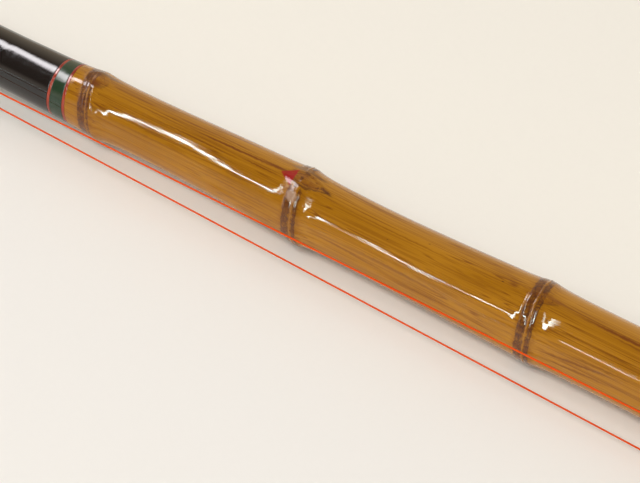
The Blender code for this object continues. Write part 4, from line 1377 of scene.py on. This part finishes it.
# A long window, mirrored as the streak along the lacquer: along, round its middle, half width
# and how bright. Past "turns at" it shines in its nearer colour.
window = {
    "distance": 12000.0, "radiance": (23.5, 22.4, 22.8), "nearer": (21.0, 25.5, 25.0),
    "turns at": -0.473,
    "places": (
        (-0.66, -46, 10, 0), (-0.6, -46, 12, 0.7), (-0.54, -48, 12, 0.9), (-0.527, -34, 22, 0.6),
        (-0.518, -30, 22, 0.5), (-0.512, -44, 15, 0.6), (-0.506, -55, 15, 0.75),
        (-0.5, -53, 15, 0.76), (-0.494, -47, 14.5, 0.76), (-0.4885, -40, 14, 0.76),
        (-0.4845, -50, 14.5, 0.76), (-0.476, -56, 14.5, 0.76), (-0.47, -40, 9, 1),
        (-0.464, -21, 4.5, 1.8), (-0.46, -18, 3.6, 2.3), (-0.454, -15.5, 3.4, 2.4),
        (-0.449, -13.5, 3.6, 2.4), (-0.445, -12, 3.6, 2.4), (-0.441, -10, 3.6, 2.4),
        (-0.433, -6.5, 3.4, 2.5), (-0.426, -1.5, 3.3, 2.6), (-0.419, 3, 3.6, 2.8),
        (-0.41, 4.5, 4.2, 2.8), (-0.4, 4, 4, 2.7), (-0.385, 6, 2.5, 2), (-0.36, 21, 5, 2.2),
        (-0.351, 22, 7, 2.6), (-0.346, 22.5, 6.5, 2.4), (-0.341, 21, 1.6, 0.9),
        (-0.337, 20.5, 2.8, 2.2), (-0.329, 18.5, 2.4, 2.2), (-0.316, 17, 2.4, 2),
        (-0.305, 17, 2.4, 1.8), (-0.298, 17, 1.5, 1.3), (-0.28, 16, 0.6, 1), (-0.242, 14, 2, 1.8),
        (-0.22, 21, 1, 1.4), (-0.2, 24.8, 1, 2.4), (-0.185, 25.8, 1.1, 2.6), (-0.16, 26.5, 1, 2)),
}
smallWindow = {
    "distance": 12000.0, "nearer": (31.0, 37.0, 36.0), "turns at": -1,
    "places": (
        (-0.15, -20, 8, 0), (-0.125, -18, 9, 0.35), (-0.105, -14, 10, 0.8), (-0.088, -8, 11, 1),
        (-0.07, 1, 12, 1.1), (-0.03, 2, 12, 1.1), (-0.02, -2, 12, 0.9), (-0.012, -16, 12, 0.6),
        (0.01, -24, 12, 0)),
}


def direction(along, turn):
    turn = radians(turn)
    out = cos(turn) * upperFront + sin(turn) * lowerFront
    return Vector((along, 0, 0)) + sqrt(1 - along * along) * out


def makeTable():
    select()
    bpy.ops.mesh.primitive_plane_add(size=12.0, location=(0, 0, 0))
    table = bpy.context.object
    table.name = "table"
    finish = Finish("paleTable", studio["table"], roughness=studio["table roughness"], ior=1.4)
    where = finish.node("ShaderNodeSeparateXYZ", None, {0: finish.places((1, 1, 1))}, 1)
    finish.paint(finish.ramp(where, 60, -60), studio["table cool"])
    finish.set(colour=finish.colour)
    table.data.materials.append(finish.material)
    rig.stage(table)


def makeWindow(name, window):
    # a glowing strip that only polished surfaces see, soft at its edges
    places, across = window["places"], (-1, -0.55, 0, 0.55, 1)
    last = len(across) - 1
    strip, rows, columns = gridOf(len(places) - 1, last)
    strip.name = name
    glow = strip.data.attributes.new("glow", "FLOAT_COLOR", "POINT")
    for vertex, row, column in zip(strip.data.vertices, rows, columns):
        along, middle, half, bright = places[row]
        vertex.co = direction(along, middle + half * across[column]) * window["distance"] * mm + axis
        bright = bright if 0 < column < last else 0
        tint = window["nearer" if along > window["turns at"] else "radiance"]
        glow.data[vertex.index].color = (*(bright * part for part in tint), 1.0)
    finish = Finish(name)
    shine = finish.node("ShaderNodeAttribute", {"attribute_name": "glow"}, output="Color")
    emission = finish.node("ShaderNodeEmission", None, {"Color": shine})
    feed(finish.tree, finish.tree.nodes["Material Output"].inputs["Surface"], emission)
    strip.data.materials.append(finish.material)
    strip.visible_camera = strip.visible_diffuse = strip.visible_shadow = False
    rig.stage(strip)


def makeSky():
    world = bpy.data.worlds.new("softSky")
    bpy.context.scene.world = world
    world.use_nodes = True
    nodes = Nodes(world.node_tree)
    towards = nodes.node("ShaderNodeTexCoord", output="Generated")

    def part(way):
        return nodes.node("ShaderNodeVectorMath", {"operation": "DOT_PRODUCT"},
                          {0: towards, 1: tuple(way)}, "Value")

    turn = part(lowerFront).maths("ARCTAN2", part(upperFront)) * (180 / pi)
    mirrored = nodes.mix(nodes.ramp(turn, -45, -105), studio["front sky"], studio["rear sky"])
    mirrored = nodes.mix(nodes.ramp(turn, 22, 42), mirrored, studio["horizon"])
    mirrored = nodes.mix(nodes.ramp(part((1, 0, 0)), -0.53, -0.72), mirrored, studio["tip side"])
    glossy, camera = (nodes.node("ShaderNodeLightPath", output=f"Is {ray} Ray")
                      for ray in ("Glossy", "Camera"))
    seen = nodes.mix(camera, nodes.mix(glossy, studio["sky"], mirrored), studio["background"])
    feed(world.node_tree, world.node_tree.nodes["Background"].inputs["Color"], seen)


def makeKeyLight():
    key = studio["key"]
    towards = direction(key["along"], key["round"])
    data = bpy.data.lights.new("keyLight", "AREA")
    data.shape = "DISK"
    data.size = key["size"] * mm
    data.energy = key["level"] * pi * pi / 4 * data.size ** 2
    light = added("keyLight", data)
    light.matrix_world = Matrix.Translation(towards * key["distance"] * mm + axis) @ (
        towards.to_track_quat("Z", "Y").to_matrix().to_4x4())
    light.visible_camera = light.visible_glossy = False


makeTable()
makeWindow("longWindow", window)
makeWindow("smallWindow", smallWindow)
makeSky()
makeKeyLight()
print("studio ready")

bpy.context.scene.view_settings.view_transform = "Standard"
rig.cord(gripRun, exit=gripPath[0], length=pathLength(gripPath), diameter=2 * line["radius"] * mm,
        far_end="bare", stiffness="limp", lay="taut", path=gripPath,
        with_pieces=[hookPiece, snellPiece])
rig.cord(tipRun, exit=gripPath[-1], length=pathLength(tipPath), diameter=2 * line["radius"] * mm,
        far_end="object", stiffness="limp", lay="taut", path=tipPath,
        with_pieces=[knotPiece])

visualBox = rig.bounds()
with open("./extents.json", "w") as file:
    json.dump({"cad": [list(c) for c in cadBox], "visual": [list(c) for c in visualBox]}, file)
